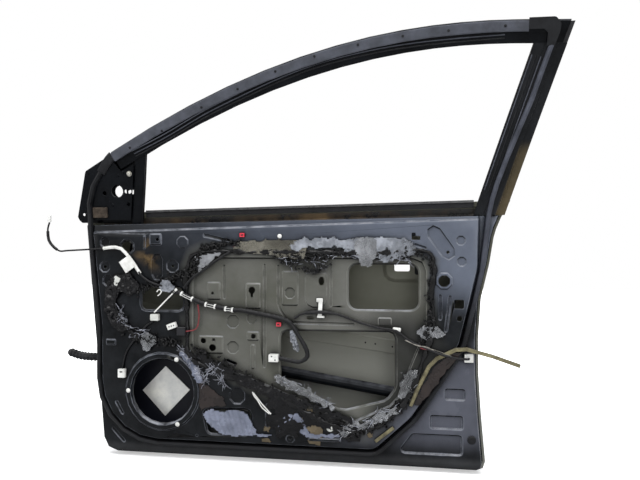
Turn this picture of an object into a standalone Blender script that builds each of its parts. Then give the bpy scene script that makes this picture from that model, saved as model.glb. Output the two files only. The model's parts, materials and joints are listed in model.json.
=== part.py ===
# Right front door shell of a car: inner panel, outer skin, window frame, seals and wiring.
# Origin at the upper hinge seat, X to the rear of the car, Y outwards, Z up, in metres.
import math

import bmesh
import bpy
from mathutils import Matrix, Vector
from mathutils.geometry import delaunay_2d_cdt

# Sheets and fits
panel_steel = 0.001
skin_steel = 0.0008
frame_steel = 0.0014
plate_steel = 0.0012
bracket_steel = 0.002
fit = 0.0003

# Section through the door
body_y = 0.036
widest_z = -0.20
body_radius = 2.2
plan_mid_x = 0.45
plan_radius = 20.0
seat_y = -0.024
face_y = -0.040
band_y = -0.034
recess_y = -0.034
draft_angle = math.radians(5)
front_lean = math.radians(5)
wall_run = 0.006

# Edges of the lower door
belt_front_z = 0.104
belt_rise = 0.019
lip_front_z = 0.083
lip_rise = 0.030
lip_width = 0.004
sill_z = -0.483
flange_width = 0.007
hem_return = 0.0055
front_corner_radius = 0.038

# Window frame
frame_inset = 0.010
frame_depth = 0.020
header_width = 0.048
run_depth = 0.024
run_gap = 0.012
moulding_front_z = 0.140
moulding_rise = 0.0225
moulding_height = 0.022
roof_curve = ((-0.010, 0.247), (0.612, 0.620), (1.011, 0.560), (1.186, 0.553))
rear_sash_foot = (0.998, 0.163)
rear_sash_slope = 0.3275
rear_sash_width = 0.066
front_sash_foot = (0.142, 0.143)
front_sash_slope = 0.135

# Speaker
speaker_centre = (0.209, -0.320)
speaker_radius = 0.081
speaker_ring = speaker_radius + 0.019
nut_circle = speaker_radius + 0.010

# Impact beam
beam_front = (0.05, -0.199)
beam_slope = -0.152
beam_radius = 0.014
beam_wall = 0.0022
beam_y = 0.014
beam_drift = -0.0075


for thing in list(bpy.data.objects):
    bpy.data.objects.remove(thing)


def paint(name, colour, roughness, metallic=0.0):
    """A plain finish."""
    material = bpy.data.materials.new(name)
    material.use_nodes = True
    shader = material.node_tree.nodes["Principled BSDF"]
    shader.inputs["Base Color"].default_value = (*colour, 1)
    shader.inputs["Roughness"].default_value = roughness
    shader.inputs["Metallic"].default_value = metallic
    return material


def skin_y(x, z):
    """Outer surface of the door, curved both ways."""
    return body_y - (z - widest_z) ** 2 / (2 * body_radius) - (x - plan_mid_x) ** 2 / (2 * plan_radius)


def front_x(y, z):
    """The front wall, a plane through the origin."""
    return -math.tan(front_lean) * z - math.tan(draft_angle) / math.cos(front_lean) * y


def belt_z(x):
    return belt_front_z + belt_rise * x


def lip_z(x):
    return lip_front_z + lip_rise * x


def moulding_z(x):
    return moulding_front_z + moulding_rise * x


def turned(direction):
    """Unit vector to the right of a direction, which is outwards on a loop that runs anticlockwise."""
    x, z = direction
    length = math.hypot(x, z)
    return z / length, -x / length


def offset(points, distance, closed=True):
    """The line moved sideways by a distance, with mitred corners."""
    moved = []
    last = len(points) - 1
    for i, (x, z) in enumerate(points):
        normals = []
        if closed or i > 0:
            before = points[i - 1]
            normals.append(turned((x - before[0], z - before[1])))
        if closed or i < last:
            after = points[(i + 1) % len(points)]
            normals.append(turned((after[0] - x, after[1] - z)))
        mid_x = sum(n[0] for n in normals) / len(normals)
        mid_z = sum(n[1] for n in normals) / len(normals)
        stretch = distance / (mid_x ** 2 + mid_z ** 2)
        moved.append((x + mid_x * stretch, z + mid_z * stretch))
    return moved


def rounded(corners, closed=True, step=48):
    """Corners (x, z, radius) with an arc at each; step is the turn in degrees for each segment."""
    points = []
    last = len(corners) - 1
    for i, corner in enumerate(corners):
        here = Vector(corner[:2])
        radius = corner[2] if len(corner) > 2 else 0
        if radius == 0 or (not closed and i in (0, last)):
            points.append(tuple(here))
            continue
        before = (Vector(corners[i - 1][:2]) - here).normalized()
        after = (Vector(corners[(i + 1) % len(corners)][:2]) - here).normalized()
        half = before.angle(after) / 2
        reach = radius / math.tan(half)
        centre = here + (before + after).normalized() * (radius / math.sin(half))
        start = here + before * reach - centre
        sweep_angle = start.angle_signed(here + after * reach - centre)
        count = max(1, math.ceil(abs(math.degrees(sweep_angle)) / step))
        for k in range(count + 1):
            turn = Matrix.Rotation(-sweep_angle * k / count, 2)
            points.append(tuple(centre + turn @ start))
    return points


def circle(x, z, radius, count=0):
    count = count or (8 if radius > 0.006 else 6)
    return [(x + radius * math.cos(a), z + radius * math.sin(a))
            for a in (2 * math.pi * (k + 0.5) / count for k in range(count))]


def block(x0, z0, x1, z1, radius=0.004, step=90):
    """A rectangle with round corners, from its lower left to its upper right corner."""
    corners = ((x0, z0, radius), (x1, z0, radius), (x1, z1, radius), (x0, z1, radius))
    return rounded(corners, step=step)


def slot(x0, z0, x1, z1, radius, count=3):
    """A long hole between two centres."""
    along = math.atan2(z1 - z0, x1 - x0)
    points = []
    for x, z, start in ((x1, z1, along - math.pi / 2), (x0, z0, along + math.pi / 2)):
        for k in range(count + 1):
            a = start + math.pi * k / count
            points.append((x + radius * math.cos(a), z + radius * math.sin(a)))
    return points


def inside(point, loop):
    x, z = point
    found = False
    for i, (x1, z1) in enumerate(loop):
        x0, z0 = loop[i - 1]
        if (z0 > z) != (z1 > z) and x < (x0 - x1) * (z - z1) / (z0 - z1) + x1:
            found = not found
    return found


def finish(name, mesh, material, smooth=None):
    """Puts a mesh in the scene as a named piece."""
    mesh.materials.append(material)
    piece = bpy.data.objects.new(name, mesh)
    bpy.context.collection.objects.link(piece)
    if smooth is not None:
        mesh.shade_smooth()
        mesh.set_sharp_from_angle(angle=math.radians(smooth))
    return piece


def from_bmesh(name, bm, material, smooth=None):
    bmesh.ops.recalc_face_normals(bm, faces=bm.faces)
    mesh = bpy.data.meshes.new(name)
    bm.to_mesh(mesh)
    bm.free()
    return finish(name, mesh, material, smooth)


def thicken(piece, thickness):
    """Turns a sheet, whose faces point out of the metal, into a solid."""
    solid = piece.modifiers.new("Thickness", "SOLIDIFY")
    solid.thickness = thickness
    solid.offset = -1
    solid.use_even_offset = True
    return piece


def cut(piece, name, cutters):
    """Takes closed shapes out of a piece."""
    bm = bmesh.new()
    for shape in cutters:
        faces = {v: bm.verts.new(v.co) for v in shape.verts}
        for face in shape.faces:
            bm.faces.new([faces[v] for v in face.verts])
        shape.free()
    cutter = from_bmesh(name, bm, paint(name, (0.5, 0.1, 0.1), 0.5))
    cutter.hide_render = True
    cutter.display_type = "WIRE"
    boolean = piece.modifiers.new(name, "BOOLEAN")
    boolean.operation = "DIFFERENCE"
    boolean.solver = "EXACT"
    boolean.object = cutter


def prism(loop, axis_matrix, low, high):
    """A closed shape: a loop drawn in the plane of a matrix's X and Z, pulled along its Y."""
    bm = bmesh.new()
    ends = []
    for depth in (low, high):
        ends.append([bm.verts.new(axis_matrix @ Vector((x, depth, z))) for x, z in loop])
    bm.faces.new(ends[0])
    bm.faces.new(ends[1][::-1])
    for i in range(len(loop)):
        bm.faces.new((ends[0][i - 1], ends[1][i - 1], ends[1][i], ends[0][i]))
    bmesh.ops.recalc_face_normals(bm, faces=bm.faces)
    return bm


class Stamping:
    """A pressed sheet drawn as loops in the XZ plane, where each point has its own depth in Y."""

    def __init__(self, border):
        self.points = []
        self.edges = []
        self.cuts = []
        self.border = [(x, z) for x, y, z in border]
        self.line(border, closed=True)

    def line(self, points, closed=False):
        start = len(self.points)
        self.points += points
        count = len(points)
        self.edges += [(start + i, start + (i + 1) % count) for i in range(count if closed else count - 1)]

    def ring(self, loop, y):
        self.line([(x, y(x, z) if callable(y) else y, z) for x, z in loop], closed=True)

    def dots(self, points, rule):
        """Loose points that let a sheet follow a curved surface."""
        self.points += [(x, rule(x, z), z) for x, z in points]

    def hole(self, loop, y):
        self.ring(loop, y)
        self.cuts.append(loop)

    def boss(self, loop, y, rise, run=0.0025):
        """A form pressed out of the level y; a positive rise goes outwards, away from the cabin."""
        self.ring(loop, y)
        self.ring(offset(loop, -run), (lambda x, z: y(x, z) + rise) if callable(y) else y + rise)

    def sheet(self, name, material, thickness, place=None, towards=-1, edging=None):
        flat = [Vector((x, z)) for x, y, z in self.points]
        found, _, faces, sources, _, _ = delaunay_2d_cdt(flat, self.edges, [], 0, 1e-7)
        bm = bmesh.new()
        corners = []
        for spot, source in zip(found, sources):
            if not source:
                raise ValueError(f"{name}: lines cross near {spot.x:.4f}, {spot.y:.4f}")
            corners.append(bm.verts.new(self.points[source[0]]))
        for face in faces:
            mid = sum((found[i] for i in face), Vector((0, 0))) / len(face)
            if inside(mid, self.border) and not any(inside(mid, loop) for loop in self.cuts):
                bm.faces.new([corners[i] for i in (face if towards < 0 else face[::-1])])
        if edging:
            edging(bm, {i: vert for vert, source in zip(corners, sources) for i in source})
        for vert in [v for v in bm.verts if not v.link_faces]:
            bm.verts.remove(vert)
        if place:
            bm.transform(place)
        mesh = bpy.data.meshes.new(name)
        bm.to_mesh(mesh)
        bm.free()
        return thicken(finish(name, mesh, material), thickness)


def thin(profile, thickness):
    """The closed outline of a bent strip with this middle line."""
    return offset(profile, thickness / 2, False) + offset(profile, -thickness / 2, False)[::-1]


def inboard_at(x, z):
    """Inward normal of the outer surface."""
    return Vector((-(x - plan_mid_x) / plan_radius, -1, -(z - widest_z) / body_radius)).normalized()


def surface_frames(points, inset):
    """Frames along a line (x, z) that lies a distance inboard of the outer surface."""
    places = [Vector((x, skin_y(x, z) - inset, z)) for x, z in points]
    return loft_frames(places, [inboard_at(x, z) for x, z in points])


def bridge(bm, rings, capped=True):
    for low, high in zip(rings, rings[1:]):
        for i in range(len(low)):
            bm.faces.new((low[i - 1], low[i], high[i], high[i - 1]))
    if capped:
        bm.faces.new(rings[0][::-1])
        bm.faces.new(rings[-1])


def bezier(curve, count, start=0.0):
    a, b, c, d = (Vector(p) for p in curve)
    points = []
    for k in range(count + 1):
        t = start + (1 - start) * k / count
        points.append(tuple(a * (1 - t) ** 3 + b * 3 * t * (1 - t) ** 2 + c * 3 * t * t * (1 - t) + d * t ** 3))
    return points


def loft_frames(places, inboards, closed=False):
    """Travel, sideways and inboard axes along a line of places."""
    frames = []
    last = len(places) - 1
    for i, (place, inboard) in enumerate(zip(places, inboards)):
        legs = []
        if closed or i > 0:
            legs.append((place - places[i - 1]).normalized())
        if closed or i < last:
            legs.append((places[(i + 1) % len(places)] - place).normalized())
        sides = [leg.cross(inboard).normalized() for leg in legs]
        side = sum(sides, Vector()) / len(sides)
        frames.append((place, sum(legs, Vector()).normalized(), side / side.length_squared, inboard))
    return frames


def on_rule(rule):
    """Slides a corner along its run until its height meets a rule z(x, y)."""
    def move(corner, travel):
        for _ in range(12):
            corner = corner + travel * ((rule(corner.x, corner.y) - corner.z) / travel.z)
        return corner
    return move


def on_plane(spot, normal):
    """Slides a corner along its run onto a plane."""
    return lambda corner, travel: corner + travel * ((spot - corner).dot(normal) / travel.dot(normal))


def carry(section, frames, closed=False, start=None, end=None):
    """Carries a closed section (sideways, inboard) along frames, with its end faces trimmed."""
    bm = bmesh.new()
    rings = []
    for i, (place, travel, side, inboard) in enumerate(frames):
        ring = [place + side * a + inboard * b for a, b in section]
        trim = start if i == 0 else end if i == len(frames) - 1 else None
        rings.append([bm.verts.new(trim(corner, travel) if trim else corner) for corner in ring])
    if closed:
        bridge(bm, rings + rings[:1], capped=False)
    else:
        bridge(bm, rings)
    return bm


def smooth_line(points, spacing):
    """Even points along a smooth curve through the given ones."""
    knots = [Vector(p) for p in points]
    knots = [knots[0] * 2 - knots[1]] + knots + [knots[-1] * 2 - knots[-2]]
    dense = []
    for i in range(1, len(knots) - 2):
        p0, p1, p2, p3 = knots[i - 1:i + 3]
        for k in range(16):
            t = k / 16
            dense.append(0.5 * (2 * p1 + (p2 - p0) * t + (2 * p0 - 5 * p1 + 4 * p2 - p3) * t * t
                                + (3 * p1 - p0 - 3 * p2 + p3) * t ** 3))
    dense.append(knots[-2])
    lengths = [0.0]
    for a, b in zip(dense, dense[1:]):
        lengths.append(lengths[-1] + (b - a).length)
    count = max(2, round(lengths[-1] / spacing))
    line = []
    at = 0
    for k in range(count + 1):
        goal = lengths[-1] * k / count
        while at < len(dense) - 2 and lengths[at + 1] < goal:
            at += 1
        share = (goal - lengths[at]) / (lengths[at + 1] - lengths[at])
        line.append(dense[at].lerp(dense[at + 1], min(1, share)))
    return line


def cable(name, line, radius, material, resolution=2):
    """A round cable along a line."""
    curve = bpy.data.curves.new(name, "CURVE")
    curve.dimensions = "3D"
    curve.bevel_depth = radius
    curve.bevel_resolution = resolution
    curve.use_fill_caps = True
    spline = curve.splines.new("POLY")
    spline.points.add(len(line) - 1)
    for spot, place in zip(spline.points, line):
        spot.co = (*place, 1)
    curve.materials.append(material)
    piece = bpy.data.objects.new(name, curve)
    bpy.context.collection.objects.link(piece)
    return piece


def stacked(name, loop, place, levels, material, smooth=None):
    """A body of loops drawn in the plane of a matrix's X and Z; each level is (inset, depth)."""
    bm = bmesh.new()
    rings = [[bm.verts.new(place @ Vector((x, depth, z))) for x, z in offset(loop, -inset)]
             for inset, depth in levels]
    bridge(bm, rings)
    return from_bmesh(name, bm, material, smooth)


def moulded_block(name, x, z, width, tall, height, material, y, turn=0.0):
    """A block with small chamfers that sits on a flat level of the panel."""
    place = facing(x, y, z) @ Matrix.Rotation(turn, 4, "Y")
    edge = 0.0007
    levels = [(edge, fit), (0, fit + edge), (0, height - edge), (edge, height)]
    return stacked(name, block(-width / 2, -tall / 2, width / 2, tall / 2, 0.001, 90), place, levels, material)


def plate(name, loop, rule, thickness, material, holes=(), spots=(), towards=-1, place=None):
    """A sheet with an outline, a surface rule y(x, z), holes and loose points."""
    sheet = Stamping([(x, rule(x, z), z) for x, z in loop])
    for hole in holes:
        sheet.hole(hole, rule)
    sheet.dots(spots, rule)
    return sheet.sheet(name, material, thickness, place, towards)


def on_skin(inset):
    """Rule for a surface that lies a distance inboard of the outer surface."""
    return lambda x, z: skin_y(x, z) - inset


def run_along(name, section, stations, rule, material, surface=skin_y):
    """Carries a section (inset from a surface, height above z(x)) along X."""
    bm = bmesh.new()
    rings = []
    for x in stations:
        ring = []
        for inset, height in section:
            z = rule(x) + height
            ring.append(bm.verts.new((x, surface(x, z) - inset, z)))
        rings.append(ring)
    bridge(bm, rings)
    return from_bmesh(name, bm, material, 30)


def swept_round(name, line, radii, material, count=10, smooth=40):
    """A round body of changing radius along a line that stays near the XZ plane."""
    bm = bmesh.new()
    bridge(bm, [round_ring(bm, line, i, radius, count) for i, radius in enumerate(radii)])
    return from_bmesh(name, bm, material, smooth)


def round_ring(bm, line, i, radius, count):
    travel = (line[min(i + 1, len(line) - 1)] - line[max(i - 1, 0)]).normalized()
    side = travel.cross(Vector((0, 1, 0))).normalized()
    up = side.cross(travel)
    return [bm.verts.new(line[i] + (side * math.cos(a) + up * math.sin(a)) * radius)
            for a in (2 * math.pi * k / count for k in range(count))]


def tube(name, line, outer, inner, material, count=10, smooth=40):
    """A sleeve along a line, open at both ends."""
    bm = bmesh.new()
    shells = [[round_ring(bm, line, i, radius, count) for i in range(len(line))] for radius in (outer, inner)]
    for shell in shells:
        bridge(bm, shell, capped=False)
    for end in (0, -1):
        for i in range(count):
            bm.faces.new((shells[0][end][i - 1], shells[0][end][i], shells[1][end][i], shells[1][end][i - 1]))
    return from_bmesh(name, bm, material, smooth)


def strip(name, points, width, height, material, chamfer=0.0):
    """A flat strip laid on its back along points (x, y, z)."""
    places = [Vector(p) for p in points]
    section = [(-width / 2, 0), (width / 2, 0), (width / 2 - chamfer, height), (-width / 2 + chamfer, height)]
    return from_bmesh(name, carry(section, loft_frames(places, [Vector((0, -1, 0))] * len(places))), material)


def turned_piece(name, profile, place, material, count=12, smooth=40, phase=0.0):
    """A turned body: profile (radius, height) from its foot to its tip on the axis of a matrix's Y."""
    bm = bmesh.new()
    rings = []
    for radius, height in profile:
        if radius == 0:
            rings.append([bm.verts.new(place @ Vector((0, height, 0)))])
            continue
        rings.append([bm.verts.new(place @ Vector((radius * math.cos(a), height, radius * math.sin(a))))
                      for a in (phase + 2 * math.pi * k / count for k in range(count))])
    for low, high in zip(rings, rings[1:]):
        for i in range(count):
            corners = [low[i - 1], low[i]] if len(low) > 1 else low[:]
            corners += [high[i], high[i - 1]] if len(high) > 1 else high[:]
            bm.faces.new(corners)
    for end in (rings[0], rings[-1]):
        if len(end) > 1:
            bm.faces.new(end)
    return from_bmesh(name, bm, material, smooth)


def facing(x, y, z, normal=(0, -1, 0)):
    """A matrix at a place whose Y runs along a normal and whose Z points as far up as it can."""
    out = Vector(normal).normalized()
    up = Vector((0, 0, 1)) - out * out.z
    up.normalize()
    matrix = Matrix((out.cross(up), out, up)).transposed().to_4x4()
    matrix.translation = Vector((x, y, z))
    return matrix


black_paint = paint("black_paint", (0.02, 0.021, 0.025), 0.25)
grey_paint = paint("grey_paint", (0.06, 0.065, 0.07), 0.3)
olive_primer = paint("olive_primer", (0.11, 0.10, 0.075), 0.45)
dusty_rubber = paint("dusty_rubber", (0.10, 0.11, 0.13), 0.8)
black_rubber = paint("black_rubber", (0.02, 0.02, 0.02), 0.7)
black_plastic = paint("black_plastic", (0.02, 0.02, 0.02), 0.5)
white_plastic = paint("white_plastic", (0.75, 0.75, 0.72), 0.5)
grey_plastic = paint("grey_plastic", (0.35, 0.35, 0.34), 0.5)
red_plastic = paint("red_plastic", (0.65, 0.03, 0.05), 0.45)
harness_tape = paint("harness_tape", (0.018, 0.018, 0.018), 0.75)
red_wire = paint("red_wire", (0.35, 0.03, 0.03), 0.5)
yellow_foam = paint("yellow_foam", (0.40, 0.36, 0.20), 0.9)
brown_felt = paint("brown_felt", (0.16, 0.10, 0.06), 0.95)
butyl = paint("butyl", (0.012, 0.012, 0.013), 0.45)
clear_film = paint("clear_film", (0.55, 0.57, 0.58), 0.35)
bright_foil = paint("bright_foil", (0.55, 0.56, 0.56), 0.3, 0.8)
zinc_steel = paint("zinc_steel", (0.45, 0.44, 0.40), 0.35, 0.9)

# Front wall and rear wall of the lower door
front_normal = Vector((-math.cos(front_lean), -math.tan(draft_angle), -math.sin(front_lean)))
front_wall = facing(0, 0, 0, front_normal)
latch_low = (0.9855, -0.175)
latch_high = (0.992, -0.075)
latch_out = turned((latch_high[0] - latch_low[0], latch_high[1] - latch_low[1]))
latch_drift = -math.tan(draft_angle) * seat_y
latch_wall = facing((latch_low[0] + latch_high[0]) / 2 + latch_out[0] * latch_drift, 0,
                    (latch_low[1] + latch_high[1]) / 2 + latch_out[1] * latch_drift,
                    (latch_out[0], -math.tan(draft_angle), latch_out[1]))


def seat_edge():
    """Outer edge of the seal seat, from the front of the belt round the sill to the rear of the belt."""
    corners = [(front_x(seat_y, z), z) for z in (belt_front_z, 0.04, -0.05, -0.15, -0.25, -0.34, -0.42)]
    corners += [(front_x(seat_y, sill_z), sill_z, front_corner_radius)]
    corners += [(x, sill_z) for x in (0.25, 0.45, 0.65, 0.85)]
    corners += [(1.003, sill_z, 0.012), (0.992, -0.36), (0.986, -0.26), (*latch_low, 0.08), (*latch_high, 0.04),
                (1.012, 0.010, 0.2), (1.024, 0.085, 0.1), (1.040, belt_z(1.040))]
    return rounded(corners, closed=False)


def flange_y(x, z):
    return skin_y(x, z) - skin_steel - fit - panel_steel


def wall_foot(edge):
    """Foot of the drafted side walls, where they turn into the hem flange."""
    foot = edge
    for _ in range(4):
        runs = [math.tan(draft_angle) * (flange_y(x, z) - seat_y) for x, z in foot]
        steps = offset(edge, 1, closed=False)
        foot = [(x + (sx - x) * run, z + (sz - z) * run) for (x, z), (sx, sz), run in zip(edge, steps, runs)]
    return foot


def face_edge():
    """Edge of the main face, inside the seal seat."""
    front, rear = 0.020, 0.992
    corners = [(front, belt_z(front)), (front, lip_z(front) + lip_width), (front, lip_z(front)),
               (0.031, -0.020, 0.06), (0.045, -0.160, 0.08), (0.045, -0.441, 0.150), (0.748, -0.441, 0.035),
               (0.835, -0.360, 0.06), (0.945, -0.190, 0.07), (0.970, -0.087, 0.08), (0.990, 0.0, 0.08),
               (rear, lip_z(rear)), (rear, lip_z(rear) + lip_width), (rear, belt_z(rear))]
    return rounded(corners, closed=False, step=22)


recess_loop = rounded(((0.290, -0.228, 0.02), (0.405, -0.270, 0.05), (0.500, -0.305, 0.05), (0.690, -0.382, 0.03),
                       (0.800, -0.330, 0.04), (0.872, -0.150, 0.05), (0.872, 0.022, 0.03), (0.320, 0.022, 0.03),
                       (0.290, -0.010, 0.02)))
upper_opening = block(0.686, -0.102, 0.853, 0.006, 0.020, step=30)
lower_opening = rounded(((0.517, -0.283, 0.02), (0.669, -0.349, 0.03), (0.776, -0.320, 0.02),
                         (0.797, -0.290, 0.02), (0.797, -0.158, 0.015), (0.516, -0.160, 0.015)))
front_opening = block(0.153, -0.112, 0.262, -0.055, 0.012)
sill_opening = rounded(((0.330, -0.420, 0.01), (0.440, -0.420, 0.015), (0.440, -0.358, 0.015),
                        (0.318, -0.364, 0.01)))
drain_opening = rounded(((0.520, -0.400, 0.006), (0.606, -0.400, 0.005), (0.520, -0.362, 0.008)))
rim_width = 0.006
rim_depth = 0.003
nut_angles = (65, 180, 297)
hinge_bolts = ((0.0, 0.022), (0.0, -0.022), (0.0, -0.313), (0.0, -0.357))
hinge_bolt_radius = 0.0055
check_slot = (-0.008, -0.182, 0.008, -0.152)
boot_spot = (0.0, -0.244)
boot_hole = 0.009
stud_spot = (-0.006, -0.122)
stud_hole = 0.0035
latch_mouth = (-0.012, -0.018, 0.014, 0.022)
latch_screws = ((0.0, 0.033), (-0.014, -0.030), (0.010, -0.030))


def round_marks(panel):
    """Round forms of the main face: centre, radius, how far pressed out, hole radius."""
    for x, z, radius, rise, hole in (
            (0.051, 0.059, 0.0145, 0.004, 0), (0.060, -0.039, 0.0165, 0.004, 0), (0.051, -0.004, 0.0155, 0.003, 0.005),
            (0.262, 0.060, 0.017, -0.003, 0), (0.235, -0.001, 0.018, 0.003, 0.004),
            (0.953, 0.064, 0.0125, 0.003, 0), (0.955, 0.014, 0.0125, 0.003, 0), (0.914, -0.032, 0.022, -0.003, 0.014),
            (0.405, -0.325, 0.022, 0.004, 0), (0.541, -0.424, 0.0125, -0.003, 0.0035)):
        panel.boss(circle(x, z, radius), face_y, rise, run=min(0.0025, radius * 0.3))
        if hole:
            panel.hole(circle(x, z, hole), face_y + rise)
    for x, z, hole in ((0.950, -0.121, 0.007), (0.300, -0.428, 0.003)):
        panel.hole(circle(x, z, hole, 10), face_y)
    for x, z, radius, rise in ((0.392, -0.140, 0.018, 0.003), (0.441, -0.131, 0.015, 0.003),
                               (0.392, -0.205, 0.017, 0.003)):
        panel.boss(circle(x, z, radius), recess_y, rise, run=0.002)


def beads(panel):
    """Long beads: two ends, half width, how far pressed out."""
    for x0, z0, x1, z1, half, rise in (
            (0.160, 0.045, 0.160, 0.074, 0.0035, -0.003), (0.194, -0.024, 0.194, 0.017, 0.015, 0.005),
            (0.905, -0.122, 0.905, -0.068, 0.004, 0.003), (0.918, -0.150, 0.928, -0.070, 0.004, 0.003),
            (0.846, 0.054, 0.870, 0.046, 0.0035, 0.002), (0.484, -0.395, 0.484, -0.345, 0.006, -0.003),
            (0.084, -0.352, 0.100, -0.380, 0.004, 0.002), (0.890, 0.083, 0.924, 0.035, 0.018, 0.004)):
        panel.boss(slot(x0, z0, x1, z1, half), face_y, rise, run=min(0.0025, half * 0.4))
    panel.hole(circle(0.923, 0.036, 0.004, 8), face_y + 0.004)
    for x0, z0, x1, z1, half, rise in (
            (0.370, -0.080, 0.370, 0.000, 0.0035, 0.002), (0.474, -0.250, 0.474, 0.003, 0.0035, 0.002),
            (0.641, -0.096, 0.641, 0.003, 0.003, 0.002), (0.4445, -0.252, 0.4445, -0.200, 0.006, -0.003)):
        panel.boss(slot(x0, z0, x1, z1, half, 3), recess_y, rise, run=half * 0.4)
    bend = rounded(((0.509, 0.003), (0.509, -0.100, 0.03), (0.535, -0.139, 0.02), (0.700, -0.141)), closed=False)
    panel.boss(thin(bend, 0.007), recess_y, 0.002, run=0.0014)
    for x0, z0, x1, z1 in ((0.583, -0.127, 0.597, -0.127), (0.378, -0.237, 0.400, -0.245)):
        panel.hole(slot(x0, z0, x1, z1, 0.0035, 3), recess_y)
    panel.boss(slot(0.066, -0.425, 0.096, -0.456, 0.005), seat_y, 0.002, run=0.002)


def keyhole(x, z, radius, tail, half):
    points = []
    start = math.asin(half / radius)
    for k in range(11):
        a = -math.pi / 2 + start + (2 * math.pi - 2 * start) * k / 10
        points.append((x + radius * math.cos(a), z + radius * math.sin(a)))
    return points + [(x - half, z - tail), (x + half, z - tail)]


def plates(panel):
    """Raised flats with their holes."""
    lift = -0.003
    panel.boss(block(0.174, 0.053, 0.206, 0.082), face_y, -0.004)
    panel.hole(circle(0.196, 0.067, 0.005, 8), face_y - 0.004)
    panel.boss(block(0.586, -0.4285, 0.666, -0.4185, 0.003), face_y, lift, run=0.002)
    panel.boss(block(0.055, -0.205, 0.082, -0.190, 0.003), face_y, lift, run=0.002)
    groove = rounded(((0.317, 0.073, 0.002), (0.388, 0.0595, 0.002), (0.388, 0.066, 0.002), (0.317, 0.083, 0.003)))
    panel.boss(groove, face_y, 0.003, run=0.0014)
    panel.boss(block(0.325, -0.085, 0.3605, -0.040), recess_y, lift)
    panel.hole(circle(0.340, -0.069, 0.004, 8), recess_y + lift)
    panel.boss(block(0.426, -0.106, 0.465, -0.042), recess_y, lift)
    panel.hole(keyhole(0.442, -0.060, 0.009, 0.018, 0.003), recess_y + lift)
    panel.boss(block(0.303, -0.221, 0.368, -0.176), recess_y, lift)
    for x, z, radius in ((0.316, -0.189, 0.0075), (0.343, -0.186, 0.0045), (0.340, -0.206, 0.0095)):
        panel.hole(circle(x, z, radius), recess_y + lift)
    panel.boss(block(0.429, -0.186, 0.461, -0.163), recess_y, lift)
    panel.hole(circle(0.446, -0.175, 0.0065, 10), recess_y + lift)
    panel.boss(block(0.518, -0.097, 0.560, -0.011), recess_y, lift)
    panel.boss(circle(0.539, -0.066, 0.0150), recess_y + lift, -lift, run=0.002)
    panel.boss(rounded(((0.577, -0.101, 0.02), (0.632, -0.101, 0.02), (0.632, -0.014, 0.005),
                        (0.577, -0.014, 0.005))), recess_y, lift)
    panel.hole(slot(0.618, -0.040, 0.618, -0.030, 0.0065), recess_y + lift)
    panel.boss(block(0.756, -0.143, 0.790, -0.122), recess_y, -0.002)
    panel.hole(block(0.938, -0.097, 0.960, -0.077, 0.002), face_y)
    panel.hole([(0.838, 0.083), (0.838, 0.0665), (0.858, 0.0665), (0.858, 0.0745), (0.847, 0.0745),
                (0.847, 0.083)], face_y)
    for loop in (block(0.915, -0.320, 0.965, -0.291, 0.006), block(0.880, -0.390, 0.960, -0.356, 0.006),
                 rounded(((0.800, -0.452, 0.01), (0.958, -0.452, 0.008), (0.958, -0.402, 0.008),
                          (0.838, -0.402, 0.012)))):
        panel.boss(loop, seat_y, 0.005, run=0.003)


def openings(panel):
    for loop, level in ((upper_opening, recess_y), (lower_opening, recess_y), (front_opening, face_y),
                        (sill_opening, face_y), (drain_opening, face_y), (circle(0.112, 0.048, 0.0155), face_y)):
        panel.ring(offset(loop, rim_width), level)
        panel.hole(loop, level + rim_depth)
    x, z = speaker_centre
    for radius, y in ((speaker_ring, face_y), (speaker_ring - 0.003, face_y - 0.005),
                      (speaker_radius + 0.004, face_y - 0.005), (speaker_radius + 0.0015, face_y + 0.003)):
        panel.ring(circle(x, z, radius, 24), y)
    panel.hole(circle(x, z, speaker_radius, 24), face_y + 0.003)
    for angle in nut_angles:
        nx, nz = nut_place(angle)
        panel.hole(block(nx - 0.0038, nz - 0.0038, nx + 0.0038, nz + 0.0038, 0.0008, 90), face_y - 0.005)


def nut_place(angle):
    a = math.radians(angle)
    return speaker_centre[0] + nut_circle * math.cos(a), speaker_centre[1] + nut_circle * math.sin(a)


def make_inner_panel():
    edge = seat_edge()
    foot = wall_foot(edge)
    rim = offset(foot, flange_width, closed=False)
    face = face_edge()
    step = offset(face, wall_run, closed=False)

    def level(points, rule):
        return [(x, rule(x, z), z) for x, z in points]

    face_line = [(x, band_y if z > lip_z(x) + lip_width / 2 else face_y, z) for x, z in face]
    lines = [level(rim, flange_y), level(foot, flange_y), level(edge, lambda x, z: seat_y),
             level(step, lambda x, z: seat_y), face_line]
    rear_tops = [line[-1] for line in lines]
    front_tops = [line[0] for line in lines]
    border = lines[0] + rear_tops[1:] + front_tops[:0:-1]
    panel = Stamping(border)
    for line in lines[1:]:
        panel.line(line)
    panel.line([face_line[1], face_line[-2]])
    panel.line([face_line[2], face_line[-3]])
    panel.boss(recess_loop, face_y, recess_y - face_y, run=0.003)
    openings(panel)
    round_marks(panel)
    beads(panel)
    plates(panel)
    piece = panel.sheet("inner_panel", grey_paint, panel_steel)
    shapes = [prism(circle(u, v, hinge_bolt_radius, 10), front_wall, -0.006, 0.004) for u, v in hinge_bolts]
    shapes.append(prism(block(*check_slot, 0.003), front_wall, -0.006, 0.004))
    shapes.append(prism(circle(*boot_spot, boot_hole), front_wall, -0.006, 0.004))
    shapes.append(prism(circle(*stud_spot, stud_hole, 8), front_wall, -0.006, 0.004))
    shapes.append(prism(block(*latch_mouth, 0.005), latch_wall, -0.006, 0.004))
    shapes += [prism(circle(u, v, 0.0035, 8), latch_wall, -0.006, 0.004) for u, v in latch_screws]
    cut(piece, "wall_holes", shapes)
    return rim


flange_rim = make_inner_panel()


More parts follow.
